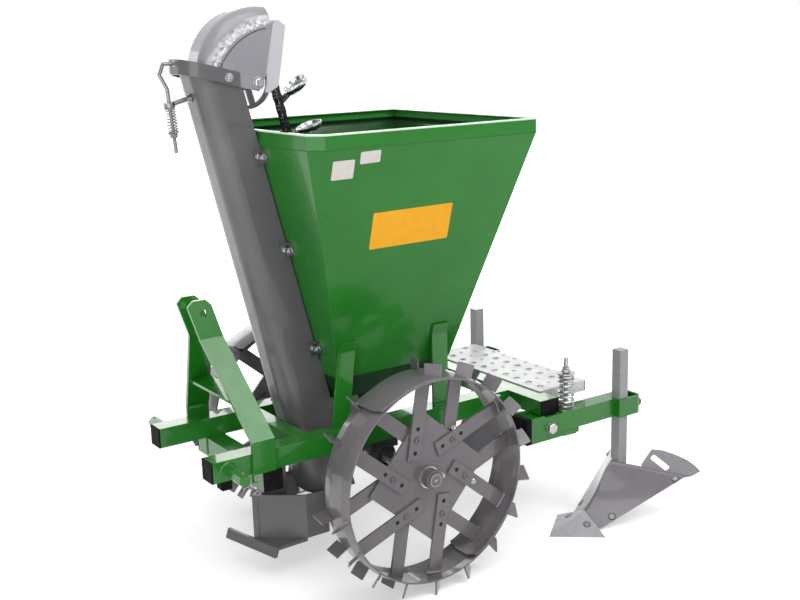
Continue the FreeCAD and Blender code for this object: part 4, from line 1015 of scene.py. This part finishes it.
# ---- ridgers ----
BOARD_NORMAL = Vector((0.5285, 0.4786, 0.7012))
POINT_NORMAL = Vector((0.3062, 0.3707, 0.8768))
ROW_HALF = 312.5
TINE_CLAMP_HEIGHT = 312.0
PIVOT_X = -415.0
RIDGE = ((-648, 168), (-619, 145), (-608, 115), (-594, 95), (-583, 75), (-560, 54), (-542, 36))
BOARD_LOW = Vector((-552.0, 55.0, 6.0))
BOARD_WING = Vector((-790.0, 142.0, 126.0))
BOARD_SHEET = mm(7.0)
BOARD_STEPS = 18


def smooth_curve(points, steps):
    """Points of a rounded line through the given places."""
    padded = [points[0] * 2 - points[1]] + points + [points[-1] * 2 - points[-2]]
    found = []
    for a, b, c, d in zip(padded, padded[1:], padded[2:], padded[3:]):
        for step in range(steps):
            t = step / steps
            bend = (2 * a - 5 * b + 4 * c - d) * t * t + (3 * b - a - 3 * c + d) * t * t * t
            found.append(0.5 * (2 * b + (c - a) * t + bend))
    return found + [points[-1]]


def make_ridging_body(side, suffix):
    """Two mouldboards with a rounded ridge between them, ruled to their lower edges."""
    places = [Vector((x, 0, z)) for x, z in RIDGE]
    softened = [(b * 2 + a + c) / 4 for a, b, c in zip(places[:1] + places, places, places[1:] + places[-1:])]
    ridge = smooth_curve(softened, 4)
    rows = []
    for index, spot in enumerate(ridge):
        edge = BOARD_WING.lerp(BOARD_LOW, index / (len(ridge) - 1))
        half_row = []
        for step in range(BOARD_STEPS + 1):
            reach = (step / BOARD_STEPS) ** 1.35
            crown = 1.8 * exp(-reach * 26)
            half_row.append(spot.lerp(edge, reach) - Vector((crown, 0, crown * 0.6)))
        row = [Vector((p.x, -p.y, p.z)) for p in half_row[:0:-1]] + half_row
        rows.append([here(p.x, side * (ROW_HALF + p.y), p.z) for p in row])

    def board(bm):
        curved_plate(bm, rows, [[p - FORWARD * BOARD_SHEET for p in row] for row in rows])

    piece = build("ridging_body_" + suffix, "ridger_steel", board, None, 50)
    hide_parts("ridger_body_" + suffix)
    return piece


WING_OUTLINE = ((34.5, 176.0), (56.2, 174.9), (84.3, 167.9), (114.3, 158.0), (138.3, 146.7))
WING_OUTLINE += ((157.6, 135.0), (149.0, 124.0), (112.0, 112.0), (62.0, 116.0), (37.0, 143.0))
WING_SLOT = ((48.4, 159.4), (90.0, 138.2))
WING_SLOT_HALF = 5.4
WING_SETBACK = 8.0
WING_PIVOT = (140.0, 118.0)
WING_SWING = radians(30.0)
WING_THICK = mm(5.0)


def wing_plate(bm, side, half):
    """Slotted tail plate lying flat against the back of one mouldboard."""
    foot_x, foot_z = RIDGE[-1]
    swing = WING_SWING if half < 0 else 0.0

    def on_board(reach, z):
        out, rise = reach - WING_PIVOT[0], z - WING_PIVOT[1]
        reach = WING_PIVOT[0] + out * cos(swing) - rise * sin(swing)
        z = WING_PIVOT[1] + out * sin(swing) + rise * cos(swing)
        x = foot_x - WING_SETBACK - (BOARD_NORMAL.y * reach + BOARD_NORMAL.z * (z - foot_z)) / BOARD_NORMAL.x
        return here(x, side * (ROW_HALF + half * reach), z)

    (near_reach, near_z), (far_reach, far_z) = WING_SLOT
    lean = atan2(far_z - near_z, far_reach - near_reach)
    slot = []
    for (reach, z), turn in zip(WING_SLOT, (lean + pi / 2, lean - pi / 2)):
        for step in range(7):
            angle = turn + pi * step / 6
            slot.append((reach + WING_SLOT_HALF * cos(angle), z + WING_SLOT_HALF * sin(angle)))
    edges = []
    for loop in (WING_OUTLINE, slot):
        verts = [bm.verts.new(on_board(*spot)) for spot in loop]
        edges += [bm.edges.new((a, b)) for a, b in zip(verts, verts[1:] + verts[:1])]
    made = bmesh.ops.triangle_fill(bm, use_beauty=True, edges=edges)
    faces = [item for item in made["geom"] if isinstance(item, bmesh.types.BMFace)]
    raised = bmesh.ops.extrude_face_region(bm, geom=faces)
    moved = [item for item in raised["geom"] if isinstance(item, bmesh.types.BMVert)]
    bmesh.ops.translate(bm, verts=moved, vec=-FORWARD * WING_THICK)


def on_surface(pieces, at, way):
    """The place where a line along a direction first meets some pieces."""
    best = None
    for piece in pieces:
        hit, spot, _, _ = piece.ray_cast(at + way * mm(60.0), -way)
        if hit and (best is None or (spot - at).dot(way) > (best - at).dot(way)):
            best = spot
    return best or at


def make_ridger_details():
    boards = {1: make_ridging_body(1, "left"), -1: make_ridging_body(-1, "right")}
    bpy.context.view_layer.update()
    plough_bolts = (
        ((-764.7, 125.3, 118.4), BOARD_NORMAL, 8.5),
        ((-592.3, 60.3, 32.7), BOARD_NORMAL, 8.5),
        ((-522.6, 36.6, 20.3), POINT_NORMAL, 8.0),
    )

    def head_places():
        """Frame and radius of each countersunk head on the boards and shares."""
        for side in SIDES:
            for half in SIDES:
                for (x, reach, z), normal, radius in plough_bolts:
                    at = here(x, side * (ROW_HALF + half * reach), z)
                    way = Vector((normal.x, normal.y * half * side, normal.z))
                    yield put(on_surface([boards[side], nodes["ridger_points"]], at, way), way), radius

    def heads(bm):
        for place, r in head_places():
            profile = [(r, -0.6), (r, 0.5), (r - 0.8, 1.0), (r - 2.2, 1.1), (r - 2.7, 0.25)]
            profile += [(r - 3.3, 0.25), (r - 3.8, 1.2), (1.8, 1.2), (1.5, 0.3), (0, 0.2)]
            lathe(bm, profile, place, 28, closed=False)

    # Painted shade: dark rings round and inside each countersunk head.
    def rings(bm):
        for place, radius in head_places():
            washer(bm, radius + 1.8, radius - 0.3, -0.8, 1.8, place)
            washer(bm, radius - 2.2, radius - 3.7, -0.8, 1.8, place)

    def wings(bm):
        for side in SIDES:
            for half in SIDES:
                wing_plate(bm, side, half)

    build("plough_bolt_heads", "ridger_steel", heads, "share_steel")
    build("plough_bolt_shade_rings", "ridger_steel", rings, "painted_gap_shade")
    tails = build("ridging_body_wings", "ridger_steel", wings, None, 20)
    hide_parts("ridger_wings")

    def fixings(bm):
        for side in SIDES:
            bolt(bm, here(PIVOT_X, side * 322.5, TINE_CLAMP_HEIGHT), LEFT * side, 16.0, "hex", 2.0, 0.35, 15.0)
            bolt(bm, here(PIVOT_X, side * 257.5, TINE_CLAMP_HEIGHT), -LEFT * side, 14.0, "nut", 5.0, 0.2, 14.0)

    def screws(bm):
        arm_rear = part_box("ridger_arm_left")[0].x
        for side in SIDES:
            at = Vector((arm_rear + mm(11.5), side * mm(ROW_HALF), mm(TINE_CLAMP_HEIGHT)))
            place = put(at, -FORWARD, 0.3)
            lathe(bm, [(12.5, -3.0), (13.4, -2.0), (13.4, 2.4), (12.5, 3.4), (5.4, 3.4)], place, 28)
            hex_prism(bm, 19.0, 3.0, 11.0, place)

    def bracket_feet(bm):
        outline = ((-457, 292), (-455, 284), (-462, 279), (-503, 278), (-511, 284), (-513, 292))
        for side in SIDES:
            slab(bm, [here(x, side * 318.2, z) for x, z in outline], mm(5.5), LEFT * side)

    build("ridger_pivot_bolts", "zinc_hardware", fixings)
    build("tine_clamp_screws", "green_paint", screws)
    build("ridger_bracket_feet", "green_paint", bracket_feet, None, 0)


SPRING_X = -497.0
SPRING_Y = 290.0
SPRING_LOW = 340.0
SPRING_HIGH = 436.0


def make_ridger_springs():
    rod_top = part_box("ridger_springs")[1].z * 1000

    def coils(bm):
        for side in SIDES:
            start, end = (here(SPRING_X, side * SPRING_Y, z) for z in (SPRING_LOW + 3.0, SPRING_HIGH - 0.5))
            coil(bm, start, end, mm(19.0), mm(3.7), 6.6, 28)

    def guides(bm):
        for side in SIDES:
            place = Matrix.Translation(here(SPRING_X, side * SPRING_Y, 0))
            washer(bm, 25.5, 6.4, SPRING_LOW, 3.0, place, 36)
            washer(bm, 24.5, 6.4, SPRING_HIGH, 3.0, place, 36)
            hex_prism(bm, 19.0, 439.0, 449.0, place @ Matrix.Rotation(0.4, 4, "Z"))
            hex_prism(bm, 18.5, 449.6, 456.0, place @ Matrix.Rotation(0.9, 4, "Z"))
            thread(bm, 6.0, 286.5, rod_top - 0.5, place)

    piece = build("ridger_spring_coils", "zinc_hardware", coils)
    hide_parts("ridger_springs")
    build("ridger_spring_rods", "zinc_hardware", guides)


# ---- wheels ----
PLATE_FACE_Y = 349.0
BAR_FACE_Y = 355.0
BACK_FACE_Y = 337.0
AXLE_END_Y = 381.4
BAR_OFFSET = 52.0
BAR_ANGLE = 20
RIM_OUTER = 257.0
RIM_HALF = 50.5
RIM_EDGE = 26.0
RIM_DROP = 5.0
WHEEL_Y = 341.0
STRIP_STEPS = 26
STRIP_CORNER = 10.0


def rim_profile(raise_by):
    edge, inner = RIM_HALF - 0.3, RIM_HALF - RIM_EDGE
    heights = ((-edge, -RIM_DROP), (-inner, 0.0), (inner, 0.0), (edge, -RIM_DROP))
    return [(WHEEL_Y + across, RIM_OUTER + fall + raise_by) for across, fall in heights]


def make_wheel_details(side, body, suffix):
    out = LEFT * side

    def on_wheel(u, v, y):
        """Place on the wheel: u runs to the rear and v up from the axle, in millimetres."""
        return Vector((AXLE_X - mm(u), side * mm(y), AXLE_Z + mm(v)))

    def on_bar(index, reach, offset, y):
        angle = radians(BAR_ANGLE + 60 * index)
        u = reach * cos(angle) - offset * sin(angle)
        v = reach * sin(angle) + offset * cos(angle)
        return on_wheel(u, v, y)

    def rim_strip(bm, start_deg, end_deg, lift, thick, gap):
        """Overlapping end of the rim's strip, free at its start and run in at its end."""
        inner, outer = [], []
        for step in range(STRIP_STEPS + 1):
            share = step / STRIP_STEPS
            angle = radians(start_deg + (end_deg - start_deg) * share)
            sink = copysign(thick * 1.15, lift) * max(share - 0.55, 0.0) / 0.45
            rise = gap * max(1 - share * 5, 0.0) ** 1.5
            for layer, level in ((inner, 0.0), (outer, thick)):
                row = []
                for y, radius in rim_profile(lift + level - sink + rise):
                    cut = STRIP_CORNER if step == 0 and abs(y - WHEEL_Y) > RIM_HALF - 2 else 0.0
                    turn = angle + copysign(cut / RIM_OUTER, end_deg - start_deg)
                    row.append(on_wheel(radius * cos(turn), radius * sin(turn), y))
                layer.append(row)
        curved_plate(bm, inner, outer)

    def heads(bm):
        for index in range(6):
            button(bm, on_bar(index, 94.0, BAR_OFFSET, BAR_FACE_Y), out, 7.8, 5.5)
            button(bm, on_bar(index, 92.0, -BAR_OFFSET, BACK_FACE_Y), -out, 7.5, 4.5)

    # Painted shade: flat dark discs on the bars stand in for the holes.
    def holes(bm):
        for index in range(6):
            for reach in (62.0, 121.0):
                place = put(on_bar(index, reach, BAR_OFFSET, BAR_FACE_Y), out)
                lathe(bm, [(0, 0.15), (5.0, 0.15), (5.4, 0.0)], place, 20, closed=False)

    def zinc_bits(bm):
        bolt(bm, on_wheel(40.0, -6.6, PLATE_FACE_Y), out, 8.0, "hex", 1.0, 0.5, 8.2)
        washer(bm, 27.5, 24.0, 0.0, 4.5, put(on_wheel(0, 0, PLATE_FACE_Y), out), 40)
        bolt(bm, on_wheel(78.0, 106.5, 343.0), out, 8.0, "nut", 3.0, 0.9, 8.0)
        bolt(bm, on_wheel(127.6, -39.7, BAR_FACE_Y), out, 8.0, "nut", 3.0, 0.2, 8.0)

    def welds(bm):
        reach = sqrt((RIM_OUTER - 4.0) ** 2 - BAR_OFFSET ** 2) - 5.0
        for index in range(6):
            for offset, y, level in ((BAR_OFFSET, 352.0, 1), (-BAR_OFFSET, 334.0, -1)):
                for across in (-18.5, 18.5):
                    lump(bm, on_bar(index, reach, offset + across * 0.92, y), mm(4.6), out, 0.8, index)
                for step in range(6):
                    at = on_bar(index, reach + 0.5, offset - 14 + 5.6 * step, y + level * 3.0)
                    lump(bm, at, mm(3.4), out, 0.7, step + index)

    def strips(bm):
        rim_strip(bm, 129.0, 66.0, 0.2, 4.0, 6.0)
        rim_strip(bm, -66.0, -24.0, -8.0, 3.6, -4.0)

    def axle_end(bm):
        profile = [(19.2, -2.0), (19.2, 0.2), (15.6, 0.4), (15.2, -0.2), (14.2, -0.2), (13.6, 0.6), (9.4, 0.7)]
        profile += [(8.8, 0.0), (8.0, 0.0), (7.4, 0.7), (3.4, 0.7), (2.8, -0.4), (0, -0.4)]
        lathe(bm, profile, put(on_wheel(0, 0, AXLE_END_Y), out), 36, closed=False)

    build("axle_end_" + suffix, "bare_shaft_steel", axle_end, "wheel_grey_paint")
    build("bar_bolt_heads_" + suffix, "wheel_grey_paint", heads, body=body)
    build("bar_hole_shades_" + suffix, "wheel_grey_paint", holes, "painted_gap_shade", 0, body=body)
    build("wheel_zinc_" + suffix, "zinc_hardware", zinc_bits, body=body)
    # The weld beads are drawn paler as a painted highlight.
    build("wheel_welds_" + suffix, "wheel_grey_paint", welds, "wheel_weld_painted_highlight", 60, body=body)
    build("rim_overlap_" + suffix, "wheel_grey_paint", strips, None, 20, body=body)


# ---- floor, backdrop and light ----
FLOOR_LIFT = 0.34
FLOOR_LIFT_FAR = 1.0
FLOOR_NEAR = 1.1
FLOOR_FAR = 3.2
BACKDROP_WAY = (-0.56, -0.83, 0.0)
ROOM_BEHIND_CAMERA = 0.35
SKY_LIGHT = 0.62
WHITE = (1.0, 1.0, 1.0)


def make_stage():
    """Pale floor that fades to white. Its glow is seen and mirrored but lights no matt surface."""
    look = Look("studio_floor", 0.9, specular=0.1, coat_rough=0.03)
    look.set("Base Color", (0.80, 0.80, 0.80))
    reach = look.vector("LENGTH", look.place, out="Value")
    lift = look.scaled(reach, FLOOR_LIFT, FLOOR_LIFT_FAR, FLOOR_NEAR, FLOOR_FAR)
    strength = look.number("MULTIPLY", look.rays("Camera", "Glossy", "Transmission"), lift)
    glow = look.add("Emission", {"Color": WHITE, "Strength": strength})
    both = look.add("AddShader", {0: look.shader.outputs["BSDF"], 1: glow})
    look.feed(look.tree.nodes["Material Output"].inputs["Surface"], both)
    bpy.ops.mesh.primitive_plane_add(size=40.0, location=(0, 0, 0))
    floor = bpy.context.object
    floor.name = "floor"
    floor.data.materials.append(look.material)


def add_area(name, at, target, size, power):
    data = bpy.data.lights.new(name, "AREA")
    data.shape = "RECTANGLE"
    data.size, data.size_y = size
    data.energy = power
    lamp = bpy.data.objects.new(name, data)
    lamp.location = at
    lamp.visible_camera = False
    lamp.rotation_euler = (Vector(target) - Vector(at)).to_track_quat("-Z", "Y").to_euler()
    scene.collection.objects.link(lamp)


def make_light():
    """Even sky light. What is seen and mirrored is white ahead of the camera and dim behind it."""
    world = bpy.data.worlds.new("studio")
    scene.world = world
    sky = Tree(world)
    even = sky.tree.nodes["Background"]
    sky.feed(even.inputs["Color"], WHITE)
    sky.feed(even.inputs["Strength"], SKY_LIGHT)
    ahead = sky.dot(sky.add("TexCoord", out="Generated"), BACKDROP_WAY)
    room = sky.scaled(ahead, ROOM_BEHIND_CAMERA, 1.0, -0.2, 0.5)
    shown = sky.number("MAXIMUM", room, sky.rays("Camera"))
    seen = sky.add("Background", {"Color": WHITE, "Strength": shown})
    straight = sky.rays("Camera", "Glossy", "Transmission")
    mix = sky.add("MixShader", {"Fac": straight, 1: even.outputs["Background"], 2: seen})
    sky.feed(sky.tree.nodes["World Output"].inputs["Surface"], mix)
    add_area("key", (0.8, 1.6, 4.2), (0, 0, 0.4), (3.0, 3.0), 82)
    add_area("fill", (3.0, 2.6, 1.5), (0, 0, 0.6), (3.0, 2.4), 62)
    add_area("high", (-1.7, 3.5, 4.05), (0.2, 0, 0.5), (1.9, 1.9), 80)
    add_area("back", (-0.5, -3.6, 1.85), (-0.2, 0, 0.5), (6.0, 1.2), 52)


add_camera()
dress_frame()
make_hopper_trim()
make_label("label_white_front", "white_label", 172.3, 1032.6, 57.0, 45.0, 0.5)
make_label("label_white_rear", "white_label", 103.6, 1056.6, 53.5, 29.0, 2.0)
make_label("label_yellow", "yellow_label", -41.6, 878.4, 227.0, 93.5, 0.5)
make_hopper_welds()
make_chain()
make_hood_details()
make_tension_spring()
make_tube_details()
make_hitch_details()
make_frame_welds()
make_bearing_faces()
make_foot_plate()
make_ridger_details()
make_ridger_springs()
make_wheel_details(1, "left_wheel", "left")
make_wheel_details(-1, "right_wheel", "right")
make_stage()
make_light()
